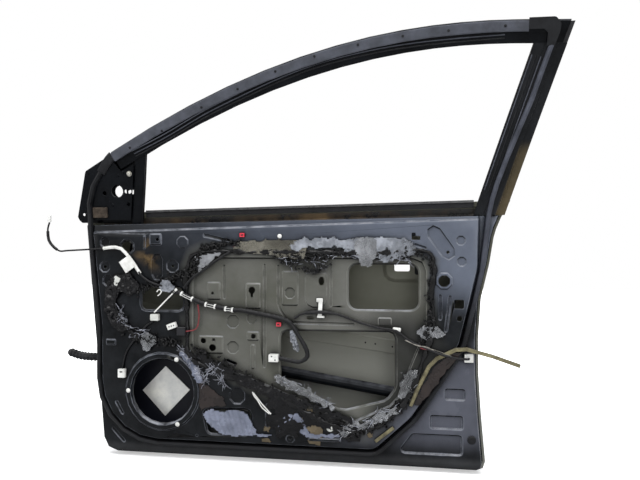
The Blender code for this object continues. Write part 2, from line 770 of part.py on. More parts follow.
def skin_outline():
    """Edge of the outer skin: round the hem, then forward along the top."""
    hem = offset(flange_rim, fit + skin_steel, closed=False)
    front, rear = hem[0], hem[-1]
    rise = moulding_z(front[0]) - moulding_seat - front[1]
    hem.insert(0, (front[0] - rise * math.tan(front_lean), front[1] + rise))
    for x in (rear[0] + 0.012, rear[0] + 0.021):
        hem.append((x, rear[1] + (moulding_z(x) - moulding_seat - rear[1]) * (x - rear[0]) / 0.021))
    count = 7
    low, high = hem[0][0] + 0.02, hem[-1][0] - 0.03
    top = [high + (low - high) * k / count for k in range(count + 1)]
    return hem, [(x, moulding_z(x) - moulding_seat) for x in top]


moulding_seat = 0.0038
hem_stack = 2 * skin_steel + panel_steel + 2 * fit
top_fold = 0.012
cup_corners = (0.765, -0.040, 0.895, 0.028)
cup_depth = 0.012
handle_hole = (0.794, -0.012, 0.832, 0.012)
lock_hole = (0.866, 0.000, 0.011)
side_bead = ((0.10, -0.115), (0.93, -0.221))
side_bead_width = 0.036
side_bead_depth = 0.002
trim_holes = ((0.720, -0.194), (0.745, -0.197), (0.788, -0.203))


def make_outer_panel():
    hem, top = skin_outline()
    back = offset(hem, -hem_return, closed=False)
    border = [(x, skin_y(x, z), z) for x, z in hem + top]
    skin = Stamping(border)
    (x0, z0), (x1, z1) = side_bead
    middle = [(x0 + (x1 - x0) * k / 8, z0 + (z1 - z0) * k / 8) for k in range(9)]
    bead = thin(middle, side_bead_width)
    skin.boss(bead[::-1] if area(bead) < 0 else bead, skin_y, -side_bead_depth, run=0.003)
    for x, z in trim_holes:
        skin.hole(circle(x, z, 0.0025, 6), lambda x, z: skin_y(x, z) - side_bead_depth)
    skin.boss(block(*cup_corners, 0.028, 30), skin_y, -cup_depth, run=0.010)
    for loop in (block(*handle_hole, 0.004), circle(*lock_hole)):
        skin.hole(loop, lambda x, z: skin_y(x, z) - cup_depth)
    spots = [(0.07 + 0.15 * i, -0.43 + 0.055 * k) for i in range(7) for k in range(9)]
    spots += [(0.03 + 0.12 * i, moulding_z(0.03 + 0.12 * i) - drop) for i in range(9) for drop in (0.034, 0.066)]
    guard = [offset(bead[::-1] if area(bead) < 0 else bead, 0.02), offset(block(*cup_corners), 0.02)]
    skin.dots([spot for spot in spots if not any(inside(spot, loop) for loop in guard)], skin_y)

    def edging(bm, at):
        def strip(first, second):
            for i in range(len(first) - 1):
                bm.faces.new((first[i], first[i + 1], second[i + 1], second[i]))

        rim = [at[i] for i in range(len(hem))]
        turn = [bm.verts.new((x, skin_y(x, z) - hem_stack, z)) for x, z in hem]
        inner = [bm.verts.new((x, skin_y(x, z) - hem_stack, z)) for x, z in back]
        strip(rim, turn)
        strip(turn, inner)
        ridge = [at[len(hem) + i] for i in range(len(top))]
        turn = [bm.verts.new((x, skin_y(x, z) - hem_stack, z)) for x, z in top]
        low = [bm.verts.new((x, skin_y(x, z - top_fold) - hem_stack, z - top_fold)) for x, z in top]
        strip(ridge, turn)
        strip(turn, low)

    return skin.sheet("outer_panel", black_paint, skin_steel, towards=1, edging=edging)


def area(loop):
    return sum(x0 * z1 - x1 * z0 for (x0, z0), (x1, z1) in zip(loop, loop[1:] + loop[:1])) / 2


make_outer_panel()

# Window frame
run_near = 0.001
run_far = run_near + run_gap
box_back = run_far + 0.0025
cabin_depth = frame_depth + frame_steel / 2
window_line = offset(bezier(roof_curve, 15, start=0.045), header_width, closed=False)
header_section = thin([(0, run_near), (-run_depth, run_near), (-run_depth, run_far), (0, run_far), (0, box_back),
                       (0.0025 - run_depth, box_back), (0.0025 - run_depth, frame_depth),
                       (0.003 - header_width, frame_depth), (-header_width, frame_depth - 0.004),
                       (-header_width, 0.004), (0.003 - header_width, run_near), (-0.0025 - run_depth, run_near),
                       (-0.0025 - run_depth, run_far - 0.002)], frame_steel)
front_stations = (-0.150, -0.070, 0.0, 0.050, 0.1067, 0.160, 0.220, 0.295)
rear_stations = (-0.240, -0.160, -0.080, 0.0, 0.050, 0.1227, 0.180, 0.240, 0.300, 0.360, 0.420, 0.480, 0.530)


def on_frame(depth):
    """Rule for a surface that lies a depth inboard of the window frame's outer face, measured square to it."""
    return lambda x, z: skin_y(x, z) - frame_inset - depth * math.hypot(1, (z - widest_z) / body_radius)


def under_z(x):
    """Height of the header's lower edge."""
    for (x0, z0), (x1, z1) in zip(window_line, window_line[1:]):
        if x <= x1:
            break
    return z0 + (z1 - z0) * (x - x0) / (x1 - x0)


def under_header(x, y):
    """Height just below the header's lower edge at a depth."""
    z = under_z(x)
    return z + (y - skin_y(x, z) + frame_inset) * (z - widest_z) / body_radius - 2 * fit - frame_steel / 2


def sash_line(foot, slope, stations):
    return [(foot[0] + slope * (z - foot[1]), z) for z in stations]


def meeting(foot, slope):
    """Where a sash line meets the header's lower edge."""
    z = foot[1]
    for _ in range(30):
        z = under_z(foot[0] + slope * (z - foot[1]))
    return foot[0] + slope * (z - foot[1]), z


header_frames = surface_frames(window_line, frame_inset)
front_sash_line = sash_line(front_sash_foot, front_sash_slope, front_stations)
rear_sash_line = sash_line(rear_sash_foot, rear_sash_slope, rear_stations)
belt_gap = 3 * fit


def make_frame():
    cut_normal = Vector((1, 0, -rear_sash_slope)).normalized()
    corner = Vector((roof_curve[3][0], 0, roof_curve[3][1]))
    from_bmesh("upper_sash", carry(header_section, header_frames, end=on_plane(corner, cut_normal)),
               black_paint, 30)
    back = 0.046
    section = thin([(0.0, run_near), (run_depth, run_near), (run_depth, run_far), (0.0, run_far), (0.0, box_back),
                    (run_depth - 0.0025, box_back), (run_depth - 0.0025, frame_depth), (back, frame_depth),
                    (back + 0.002, frame_depth - 0.010), (rear_sash_width, frame_depth - 0.010),
                    (rear_sash_width, frame_depth - 0.014)], frame_steel)
    from_bmesh("rear_sash", carry(section, surface_frames(rear_sash_line[5:], frame_inset),
                                  start=on_rule(lambda x, y: belt_z(x) + belt_gap),
                                  end=on_rule(under_header)), black_paint, 30)
    channel = [(0.0, run_near), (-run_depth, run_near), (-run_depth, run_far), (0.0, run_far)]
    section = thin(channel, frame_steel)
    from_bmesh("front_sash", carry(section, surface_frames(front_sash_line[4:], frame_inset),
                                   start=on_rule(lambda x, y: belt_z(x) + belt_gap),
                                   end=on_rule(under_header)), black_paint, 30)
    from_bmesh("front_glass_guide", carry(section, surface_frames(front_sash_line[:5], frame_inset),
                                          end=on_rule(lambda x, y: belt_z(x))), black_paint, 30)
    mirrored = thin([(-a, b) for a, b in channel], frame_steel)
    from_bmesh("rear_glass_guide", carry(mirrored, surface_frames(rear_sash_line[:6], frame_inset),
                                         end=on_rule(lambda x, y: belt_z(x))), black_paint, 30)


def make_glass_run():
    """Rubber channel round three sides of the window."""
    front = meeting(front_sash_foot, front_sash_slope)
    rear = meeting(rear_sash_foot, rear_sash_slope)
    path = [p for p in front_sash_line[3:] if p[1] < front[1] - 0.01] + [front]
    path += [p for p in window_line if front[0] + 0.01 < p[0] < rear[0] - 0.01] + [rear]
    path += [p for p in rear_sash_line[4:] if p[1] < rear[1] - 0.01][::-1]
    wall = 0.0016
    near, far = run_near + frame_steel / 2 + 2 * fit, run_far - frame_steel / 2 - 2 * fit
    deep, lip = -run_depth + frame_steel / 2 + 2 * fit, 0.0025
    section = [(deep, near), (lip, near), (lip, near + wall), (deep + 2 * wall, near + wall),
               (deep + 2 * wall, far - wall), (lip, far - wall), (lip, far), (deep, far)]
    from_bmesh("glass_run_channel", carry(section, surface_frames(path, frame_inset)), black_rubber, 30)


make_frame()
make_glass_run()

# Sail corner
sail_inset = 0.0096
pan_flange_depth = fit + plate_steel
sail_front = ((-0.010, 0.247), (-0.013, 0.242), (-0.030, 0.180), (-0.044, 0.127), (-0.039, 0.117), (-0.032, 0.111))
mirror_hole = circle(0.082, 0.192, 0.016, 16)
mirror_slot = slot(0.107, 0.191, 0.116, 0.191, 0.0055)
corner_hole = circle(-0.025, 0.133, 0.004, 8)


def make_sail():
    roof = [(x, z - 0.002) for x, z in bezier(roof_curve, 17)[1:3]][::-1]
    border = list(sail_front) + [(0.050, 0.111), (0.134, 0.111), (0.145, 0.200), (0.157, 0.290)] + roof
    spots = [(-0.01 + 0.045 * i, 0.135 + 0.04 * k) for i in range(4) for k in range(4)]
    holes = (mirror_hole, mirror_slot, corner_hole)
    clear = [p for p in spots if inside(p, border) and not any(inside(p, offset(h, 0.004)) for h in holes)]
    plate("sail_plate", border, on_skin(sail_inset), plate_steel, black_paint, holes, clear)

    flange, face = on_frame(pan_flange_depth), on_frame(cabin_depth)
    top = [(-0.003, 0.1175), (-0.004, 0.160), (0.012, 0.211), (0.049, 0.255), (0.0770, 0.2685)]
    foot = [(-0.0085, 0.1175), (-0.009, 0.1605), (0.0075, 0.2135), (0.0455, 0.2605), (0.0735, 0.2795)]
    low = [(x, face(x, z), z) for x, z in ((0.055, 0.1175), (0.1136, 0.1175), (0.1232, 0.190), (0.1325, 0.258),
                                           (0.0960, 0.2420))]
    edge = [(x, flange(x, z), z) for x, z in ((0.0680, 0.2875), (0.045, 0.2755), (0.020, 0.2607), (-0.0075, 0.2435),
                                              (-0.0115, 0.238), (-0.026, 0.182), (-0.0405, 0.127), (-0.036, 0.1175))]
    top_line = [(x, face(x, z), z) for x, z in top]
    foot_line = [(x, flange(x, z), z) for x, z in foot]
    pan = Stamping([foot_line[0], top_line[0]] + low + [top_line[-1], foot_line[-1]] + edge)
    pan.line(top_line)
    pan.line(foot_line)
    for loop in (mirror_hole, mirror_slot, circle(0.047, 0.187, 0.006), circle(0.110, 0.158, 0.0053, 8)):
        pan.hole(loop, face)
    pan.hole(corner_hole, flange)
    pan.hole(circle(-0.001, 0.238, 0.003, 8), flange)
    for x, z in ((0.089, 0.232), (0.102, 0.239), (0.067, 0.156)):
        pan.boss(circle(x, z, 0.004, 8), face, -0.0015, run=0.001)
    pan.dots(((0.025, 0.165), (0.058, 0.222), (0.085, 0.145)), face)
    pan.sheet("mirror_bracket", black_paint, plate_steel)

    x, z = 0.119, 0.236
    seat = facing(x, face(x, z), z, inboard_at(x, z))
    turned_piece("sail_bolt", [(0.0070, fit), (0.0070, 0.0015), (0.0050, 0.0016), (0.0048, 0.0055), (0.0036, 0.0062)],
                 seat, zinc_steel)
    x, z = 0.033, 0.1375
    stacked("felt_block", block(-0.019, -0.0135, 0.019, 0.0135, 0.002, 90),
            facing(x, face(x, z), z, inboard_at(x, z)), [(0, 2 * fit), (0, 0.007), (0.001, 0.008)], brown_felt)


def make_pillar_applique():
    """Outer plate on the rear sash."""
    section = [(0.0, -0.0004), (0.0, -0.0018), (0.0680, -0.0018), (0.0680, -0.0004)]
    from_bmesh("pillar_applique", carry(section, surface_frames(rear_sash_line[6:], frame_inset),
                                        start=on_rule(lambda x, y: 0.172), end=on_rule(lambda x, y: 0.548)),
               black_plastic, 30)


make_sail()
make_pillar_applique()

# Seals
seal_gap = 0.0005
seal_corner_x = 1.094
seal_height = 0.0038
bulb_height = 0.014
bulb_section = [(-0.0055, 0), (-0.0055, 0.004), (-0.0045, 0.0105), (0, bulb_height), (0.0045, 0.0105),
                (0.0055, 0.004), (0.0055, 0)]


def seal_place(x, z):
    """Seat of the door seal: the panel below the belt, the window frame above it."""
    return Vector((x, min(seat_y - fit, on_frame(cabin_depth + seal_gap)(x, z)), z))


def seal_inboard(x, z):
    share = min(1, max(0, (z - belt_front_z) / 0.05))
    return Vector((0, -1, 0)).lerp(inboard_at(x, z), share).normalized()


def make_seals():
    base = cabin_depth + fit
    outer, inner = 0.002 - header_width, 0.0255 - header_width
    section = [(outer, base), (inner, base), (inner, base + 0.0025), (inner - 0.002, base + seal_height),
               (outer + 0.002, base + seal_height), (outer, base + 0.0025)]
    count = sum(1 for place, *_ in header_frames if place.x < seal_corner_x) + 1
    end = on_plane(Vector((seal_corner_x, 0, 0)), Vector((1, 0, 0)))
    from_bmesh("header_seal", carry(section, header_frames[:count], end=end), dusty_rubber, 30)

    thickness = 0.0045
    corners = ((fit, 0.5285), (0.0325, 0.5275, 0.004), (0.0410, 0.5195, 0.004), (0.0395, 0.4925), (0.0560, 0.4925),
               (0.0660, 0.5200, 0.01), (0.0680, 0.5370, 0.01), (0.0560, 0.5505, 0.008), (fit, 0.5515))
    corner = rounded([(seal_corner_x + run, *rest) for run, *rest in corners], step=45)
    plate("seal_corner_rear", corner, on_frame(cabin_depth + seal_gap + thickness), thickness, black_rubber)

    first = header_frames[0][0] + header_frames[0][2] * (outer + inner) / 2
    travel = header_frames[0][1]
    finish_at = first - travel * fit
    path = [(0.0437, 0.2400), (0.0560, 0.2575), (0.0680, 0.2720), (finish_at.x, finish_at.z)]
    frames = loft_frames([seal_place(x, z) for x, z in path], [inboard_at(x, z) for x, z in path])
    section = [(-0.0115, 0), (0.0115, 0), (0.0115, 0.003), (0.0085, 0.0048), (-0.0085, 0.0048), (-0.0115, 0.003)]
    from_bmesh("seal_corner_front", carry(section, frames, end=on_plane(finish_at, travel)), black_rubber, 30)

    seat = offset(face_edge()[2:-2], 0.014, closed=False)[:-1]
    path = [(0.0434, 0.2396), (0.0200, 0.2060), (0.0060, 0.1620), (0.0055, 0.1200)] + seat
    path += [(1.0095, 0.050), (1.0150, 0.100), (1.0185, 0.128), (1.026, 0.164), (1.037, 0.202), (1.058, 0.260),
             (1.082, 0.321), (1.106, 0.381), (1.125, 0.440), (1.1422, 0.4915)]
    frames = loft_frames([seal_place(x, z) for x, z in path], [seal_inboard(x, z) for x, z in path])
    strip_end = on_rule(lambda x, y: 0.4915)
    from_bmesh("door_weatherstrip", carry(bulb_section, frames, end=strip_end), black_rubber, 40)


make_seals()

# Belt
skin_gap = 0.0006


def make_belt():
    behind = -(band_y + panel_steel + fit + plate_steel / 2)
    profile = [(behind, -0.0055), (behind, -0.0012), (0.0225, -0.0012), (0.0225, -0.045)]
    stations = [0.045 + 0.2275 * k for k in range(5)]
    run_along("belt_reinforcement_inner", thin(profile, plate_steel), stations, belt_z, grey_paint,
              surface=lambda x, z: 0)
    near = skin_steel + skin_gap + plate_steel / 2
    crown = 0.0085
    profile = [(near, -0.0205), (near, -0.034), (crown, -0.040), (crown, -0.058), (near, -0.064), (near, -0.080)]
    stations = [0.025 + 0.121875 * k for k in range(9)]
    run_along("belt_reinforcement_outer", thin(profile, plate_steel), stations, moulding_z, olive_primer)
    fold = hem_stack + fit
    section = [(-0.0023, -moulding_height), (-0.0023, -0.002), (-0.0005, 0), (0.0055, 0), (0.0110, -0.006),
               (0.0100, -0.0075), (0.0055, -0.004), (0.0055, -0.018), (fold, -0.018), (fold, fit - moulding_seat),
               (-fit, fit - moulding_seat), (-fit, -moulding_height)]
    stations = [0.1455 + 0.119929 * k for k in range(8)]
    run_along("belt_moulding", section, stations, moulding_z, black_plastic)


make_belt()

# Inside the door

def beam_axis(x):
    return Vector((x, beam_y + beam_drift * (x - beam_front[0]), beam_front[1] + beam_slope * (x - beam_front[0])))


def make_inside():
    ends = [beam_axis(x) for x in (0.048, 0.945)]
    tube("impact_beam", ends, beam_radius, beam_radius - beam_wall, black_paint, count=14)
    level = beam_axis(0.118).y - beam_radius - fit - bracket_steel
    lean = 0.0040
    plate("beam_bracket_front", [(front_x(0, -0.245) + lean, -0.245), (0.118, -0.245), (0.118, -0.195),
                                 (front_x(0, -0.188) + lean, -0.188)],
          lambda x, z: level, bracket_steel, black_paint)
    low_level = beam_axis(0.945).y - beam_radius - fit - bracket_steel
    plate("beam_bracket_rear", block(0.878, -0.372, 0.981, -0.292, 0.01), lambda x, z: low_level,
          bracket_steel, black_paint)
    holes = [circle(u, v, hinge_bolt_radius, 8) for u, v in hinge_bolts]
    holes += [block(*check_slot, 0.003), circle(*boot_spot, boot_hole), circle(*stud_spot, stud_hole, 8)]
    depth = -(panel_steel + fit)
    plate("hinge_reinforcement", block(-0.018, -0.385, 0.010, 0.045), lambda u, v: depth, bracket_steel, black_paint,
          holes, towards=1, place=front_wall)
    holes = [block(*latch_mouth, 0.005)] + [circle(u, v, 0.0035, 8) for u, v in latch_screws]
    plate("latch_reinforcement", block(-0.020, -0.042, 0.018, 0.043), lambda u, v: depth, bracket_steel, black_paint,
          holes, towards=1, place=latch_wall)
    under_cup = cup_depth + skin_steel + skin_gap + bracket_steel
    plate("handle_bracket", block(0.844, -0.020, 0.884, 0.012), on_skin(under_cup), bracket_steel, black_paint,
          [circle(*lock_hole)])
    pad = ((0.188, -0.270), (0.125, -0.335), (0.190, -0.400), (0.256, -0.330))
    plate("damping_pad", pad, on_skin(skin_steel + skin_gap + 0.0015), 0.0015, bright_foil, spots=[(0.19, -0.335)])


make_inside()

# Clips, plugs and ties
def make_clips():
    for number, angle in enumerate(nut_angles, 1):
        x, z = nut_place(angle)
        turned_piece(f"speaker_nut_{number}", [(0.0030, -0.009), (0.0045, -0.005), (0.0045, fit), (0.0078, fit),
                                               (0.0078, 0.0022), (0.0060, 0.0030)],
                     facing(x, face_y - 0.005, z), grey_plastic, count=4, smooth=None, phase=math.pi / 4)
    moulded_block("red_clip_upper", 0.419, 0.078, 0.012, 0.010, 0.006, red_plastic, face_y)
    push_pin = [(0.0055, fit), (0.0055, 0.0012), (0.0040, 0.0020), (0.0025, 0.0024), (0.0025, 0.0060)]
    turned_piece("white_clip", push_pin, facing(0.514, face_y, 0.075), white_plastic)
    strip("loose_tie", [(0.448, -0.0434, -0.314), (0.470, -0.0434, -0.341), (0.493, -0.0434, -0.365)],
          0.0030, 0.0011, white_plastic)
    turned_piece("edge_stud", [(stud_hole - 0.0006, -0.012), (stud_hole - 0.0006, fit), (0.0065, fit), (0.0065, 0.0050),
                               (0.0045, 0.0062)],
                 front_wall @ Matrix.Translation((stud_spot[0], 0, stud_spot[1])), zinc_steel, count=6, smooth=None)
    cap = [(0.0100, fit), (0.0100, 0.0015), (0.0060, 0.0030)]
    turned_piece("rubber_plug", cap, facing(0.979, seat_y, -0.412), black_rubber)
    cap = [(0.0090, fit), (0.0090, 0.0012), (0.0060, 0.0032)]
    turned_piece("grey_plug", cap, facing(0.640, face_y, -0.394), grey_plastic)


def make_boot():
    """Corrugated rubber boot on the front wall."""
    root = front_wall @ Vector((boot_spot[0], fit, boot_spot[1]))
    points = [root + front_normal * 0.0040, root + front_normal * 0.020, root + Vector((-0.055, -0.004, 0.001)),
              Vector((-0.070, root.y - 0.005, -0.232))]
    line = [root] + smooth_line(points, 0.0046)
    ridge, groove = 0.0120, 0.0096
    radii = [0.0145, 0.0130] + [ridge if k % 2 == 0 else groove for k in range(len(line) - 4)] + [groove, 0.0070]
    swept_round("harness_boot", line, radii, black_rubber, count=8)


make_clips()
make_boot()


# Harness
def laid(points, y):
    return [(x, y, z) for x, z in points]


trunk_radius = 0.004
lead_radius = 0.0028
thin_lead = 0.0022


def make_harness():
    on_recess = -0.0425
    route = [(0.200, -0.012, -0.095), (0.222, -0.030, -0.082), (0.238, -0.0455, -0.068), (0.256, -0.0488, -0.067),
             (0.275, -0.0488, -0.076), (0.300, -0.0480, -0.087), (0.325, -0.0435, -0.096)]
    route += laid(((0.387, -0.108), (0.427, -0.111), (0.517, -0.128), (0.544, -0.142), (0.560, -0.170),
                   (0.582, -0.207), (0.582, -0.222), (0.566, -0.232), (0.544, -0.228), (0.5125, -0.226)), on_recess)
    line = smooth_line(route, 0.020)
    cable("harness_trunk", line, trunk_radius, harness_tape)
    moulded_block("trunk_connector", 0.500, -0.226, 0.024, 0.018, 0.0165, white_plastic, recess_y)

    route = laid(((0.389, 0.036), (0.350, 0.012), (0.321, -0.010), (0.290, -0.030), (0.268, -0.056)), -0.0478)
    cable("second_cable", smooth_line(route, 0.016), 0.003, harness_tape)

    route = laid(((0.552, -0.128), (0.573, -0.115), (0.614, -0.111), (0.657, -0.115), (0.708, -0.133),
                  (0.760, -0.147), (0.800, -0.152)), -0.0428)
    route += [(0.824, -0.0440, -0.170), (0.845, -0.0452, -0.182), (0.874, -0.0480, -0.193), (0.900, -0.0508, -0.203),
              (0.925, -0.0508, -0.210), (0.948, -0.0475, -0.2145), (0.9635, -0.0462, -0.2155)]
    line = smooth_line(route, 0.016)
    line += [Vector((0.9700, -0.0448, -0.2155)), Vector((0.9715, -0.0415, -0.2155)), Vector((0.9715, -0.0376, -0.2155))]
    cable("latch_lead", line, lead_radius, harness_tape)
    sleeved = [i for i, p in enumerate(line) if 0.575 < p.x < 0.660]
    tube("latch_lead_sleeve", line[sleeved[0]:sleeved[-1] + 1], 0.0044, 0.0034, harness_tape, count=8)
    moulded_block("latch_connector", 0.972, -0.2155, 0.021, 0.019, 0.0130, white_plastic, seat_y)

    socket = Vector(speaker_centre) + Vector((-0.926, 0.377)) * (speaker_ring + 0.0166)
    route = laid(((0.183, -0.1425), (0.165, -0.155), (0.140, -0.183), (0.112, -0.222),
                  (socket.x, socket.y + 0.0115)), -0.0434)
    cable("speaker_lead", smooth_line(route, 0.016), thin_lead, harness_tape)
    moulded_block("speaker_connector", *socket, 0.019, 0.022, 0.010, white_plastic, face_y)
    moulded_block("grey_connector", 0.191, -0.1310, 0.022, 0.016, 0.012, grey_plastic, face_y)
    moulded_block("white_connector", 0.236, -0.1520, 0.024, 0.014, 0.011, white_plastic, face_y, turn=0.35)

    route = [(0.305, -0.0455, -0.0965), (0.307, -0.0440, -0.130), (0.300, -0.0455, -0.158), (0.2735, -0.0465, -0.165)]
    cable("red_wires", smooth_line(route, 0.009), 0.0016, red_wire)
    moulded_block("black_plug", 0.262, -0.165, 0.0220, 0.020, 0.012, black_plastic, face_y)

    sleeve_y = -0.0450
    route = laid(((0.150, -0.020), (0.128, 0.012), (0.099, 0.043), (0.075, 0.047), (0.050, 0.044)), sleeve_y)
    cable("white_sleeve", smooth_line(route, 0.016), 0.0044, white_plastic)

    route = laid(((0.0495, 0.0439), (0.005, 0.041), (-0.050, 0.038), (-0.071, 0.037), (-0.089, 0.048),
                  (-0.100, 0.061), (-0.104, 0.073), (-0.105, 0.093), (-0.103, 0.103), (-0.100, 0.1115)), -0.0460)
    line = smooth_line(route, 0.012)
    cable("mirror_lead", line, thin_lead, harness_tape)
    sleeved = [i for i, p in enumerate(line) if p.x < -0.070 and p.z < 0.096]
    tube("mirror_lead_sleeve", line[sleeved[0]:sleeved[-1] + 1], 0.0038, 0.0028, harness_tape, count=8)
    stacked("mirror_lead_terminal", block(-0.004, 0.0, 0.004, 0.017, 0.001, 90), facing(-0.100, -0.0435, 0.1130),
            [(0.0005, 0), (0, 0.0005), (0, 0.0045), (0.0005, 0.005)], white_plastic)


make_harness()


# Seal strips and what is left of the moisture film
def make_remnants():
    bead = offset(recess_loop, 0.012)
    places = [Vector((x, face_y - fit, z)) for x, z in bead]
    section = [(-0.004, 0), (0.004, 0), (0.0025, 0.003), (-0.0025, 0.003)]
    frames = loft_frames(places, [Vector((0, -1, 0))] * len(places), closed=True)
    from_bmesh("butyl_bead", carry(section, frames, closed=True), butyl)
    foam = laid(((0.835, -0.331), (0.854, -0.286), (0.878, -0.237), (0.897, -0.217), (0.919, -0.206), (0.940, -0.195),
                 (0.966, -0.193), (0.990, -0.199), (1.025, -0.208), (1.088, -0.229)), face_y - fit)
    strip("foam_strip", foam, 0.0095, 0.0065, yellow_foam, chamfer=0.0015)
    film = 0.0005
    on_bead = face_y - fit - 0.003 - fit - film
    for name, loop in (
            ("film_left", ((0.292, 0.032), (0.300, -0.028), (0.330, 0.010), (0.387, 0.0400))),
            ("film_top", ((0.398, 0.042), (0.402, 0.012), (0.470, 0.004), (0.545, 0.010), (0.700, -0.008),
                          (0.790, 0.006), (0.842, 0.012), (0.846, 0.050), (0.700, 0.058), (0.560, 0.060))),
            ("film_lower", ((0.275, -0.234), (0.400, -0.291), (0.500, -0.329), (0.665, -0.391), (0.700, -0.386),
                            (0.690, -0.360), (0.505, -0.288), (0.405, -0.252), (0.300, -0.215)))):
        plate(name, loop, lambda x, z: on_bead, film, clear_film)
    sill = ((0.312, -0.352), (0.320, -0.415), (0.398, -0.427), (0.450, -0.408), (0.448, -0.352), (0.380, -0.356))
    plate("film_sill", sill, lambda x, z: face_y - fit - film, film, clear_film)


make_remnants()
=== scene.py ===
import json
import math
import random

import bpy
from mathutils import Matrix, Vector, noise


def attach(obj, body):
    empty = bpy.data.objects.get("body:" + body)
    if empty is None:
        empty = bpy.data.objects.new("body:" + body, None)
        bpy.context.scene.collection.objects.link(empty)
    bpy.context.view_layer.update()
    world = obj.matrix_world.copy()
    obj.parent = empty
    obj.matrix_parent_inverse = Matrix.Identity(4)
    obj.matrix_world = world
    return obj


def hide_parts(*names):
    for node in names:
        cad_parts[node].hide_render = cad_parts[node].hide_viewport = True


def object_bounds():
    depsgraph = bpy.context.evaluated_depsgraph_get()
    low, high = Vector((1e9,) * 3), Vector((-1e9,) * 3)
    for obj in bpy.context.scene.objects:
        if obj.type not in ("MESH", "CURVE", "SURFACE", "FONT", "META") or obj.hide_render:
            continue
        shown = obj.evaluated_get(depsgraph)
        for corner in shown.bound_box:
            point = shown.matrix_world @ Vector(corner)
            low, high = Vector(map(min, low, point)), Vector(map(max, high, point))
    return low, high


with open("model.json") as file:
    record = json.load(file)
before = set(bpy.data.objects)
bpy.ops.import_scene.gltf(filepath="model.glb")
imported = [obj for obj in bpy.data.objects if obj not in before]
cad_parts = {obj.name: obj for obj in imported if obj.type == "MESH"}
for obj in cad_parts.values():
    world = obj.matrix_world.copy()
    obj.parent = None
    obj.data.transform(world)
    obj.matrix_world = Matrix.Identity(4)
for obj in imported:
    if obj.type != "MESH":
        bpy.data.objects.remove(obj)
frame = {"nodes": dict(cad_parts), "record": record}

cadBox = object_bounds()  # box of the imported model, before anything is added
scene = bpy.context.scene
nodes = frame["nodes"]
random.seed(7)
print("frame:", len(nodes), "nodes")

# ---- camera, at the angle of the photograph
view = {
    "target": (0.6151, -0.040, 0.0656),
    "distance": 1.5925,
    "azimuth": 9.1,
    "lens": 36.5625,
}


def makeCamera():
    turn = math.radians(view["azimuth"])
    back = Vector((math.sin(turn), -math.cos(turn), 0))
    data = bpy.data.cameras.new("camera")
    data.lens = view["lens"]
    data.clip_start = 0.05
    camera = bpy.data.objects.new("camera", data)
    camera.location = Vector(view["target"]) + back * view["distance"]
    camera.rotation_euler = (-back).to_track_quat("-Z", "Y").to_euler()
    scene.collection.objects.link(camera)
    scene.camera = camera


makeCamera()


# ---- tubes along a line
def only(piece):
    bpy.ops.object.select_all(action="DESELECT")
    piece.select_set(True)
    bpy.context.view_layer.objects.active = piece


def smooth(angle):
    bpy.ops.object.shade_smooth_by_angle(angle=math.radians(angle))


def metres(points):
    # outlines and routes are listed in millimetres
    return [tuple(value / 1000 for value in point) for point in points]


def evenLine(route, spacing):
    # points at equal steps along a smooth curve through the route
    knots = [Vector(p) for p in route]
    knots = [knots[0] * 2 - knots[1]] + knots + [knots[-1] * 2 - knots[-2]]
    dense = []
    for i in range(1, len(knots) - 2):
        a, b, c, d = knots[i - 1:i + 3]
        for k in range(16):
            t = k / 16
            dense.append(0.5 * (2 * b + (c - a) * t + (2 * a - 5 * b + 4 * c - d) * t * t
                                + (3 * b - a - 3 * c + d) * t ** 3))
    dense.append(knots[-2])
    lengths = [0.0]
    for a, b in zip(dense, dense[1:]):
        lengths.append(lengths[-1] + (b - a).length)
    count = max(2, round(lengths[-1] / spacing))
    line, at = [], 0
    for k in range(count + 1):
        goal = lengths[-1] * k / count
        while at < len(dense) - 2 and lengths[at + 1] < goal:
            at += 1
        share = (goal - lengths[at]) / (lengths[at + 1] - lengths[at])
        line.append(dense[at].lerp(dense[at + 1], min(1, share)))
    return line


def tubeData(name, radius, resolution):
    data = bpy.data.curves.new(name, "CURVE")
    data.dimensions = "3D"
    data.bevel_depth = radius
    data.bevel_resolution = resolution
    data.use_fill_caps = True
    return data


def tubeMesh(name, data):
    piece = bpy.data.objects.new(name, data)
    scene.collection.objects.link(piece)
    only(piece)
    bpy.ops.object.convert(target="MESH")
    smooth(60)
    return bpy.context.active_object


def roundCurve(name, line, radius, resolution=4, widths=None):
    # round tube along a line, kept as a mesh
    data = tubeData(name, radius, resolution)
    spline = data.splines.new("POLY")
    spline.points.add(len(line) - 1)
    for i, (point, place) in enumerate(zip(spline.points, line)):
        point.co = (*place, 1)
        point.radius = widths[i] if widths else 1
    return tubeMesh(name, data)


# ---- free lead of the mirror, on the same points as its solid
mirrorLead = {
    "route": ((0.0495, 0.0439), (0.005, 0.041), (-0.050, 0.038), (-0.071, 0.037), (-0.089, 0.048), (-0.100, 0.061),
              (-0.104, 0.073), (-0.105, 0.093), (-0.103, 0.103), (-0.100, 0.1115)),
    "level": -0.0460,
    "radius": 0.0022,
    "spacing": 0.004,
}


def makeMirrorLead():
    flat = [(x, mirrorLead["level"], z) for x, z in mirrorLead["route"]]
    line = evenLine(flat, mirrorLead["spacing"])
    lead = roundCurve("mirrorLead", line, mirrorLead["radius"])
    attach(lead, "root")
    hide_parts("mirror_lead")
    return lead


lead = makeMirrorLead()
print("camera and free lead")


# ---- shader helpers
def feed(tree, node, inputs):
    # links sockets, and sets numbers and colours
    for name, value in inputs.items():
        if isinstance(value, bpy.types.NodeSocket):
            tree.links.new(value, node.inputs[name])
        else:
            node.inputs[name].default_value = (*value, 1) if isinstance(value, tuple) else value


def put(tree, kind, inputs=None, **settings):
    node = tree.nodes.new("ShaderNode" + kind)
    for name, value in settings.items():
        setattr(node, name, value)
    feed(tree, node, inputs or {})
    return node


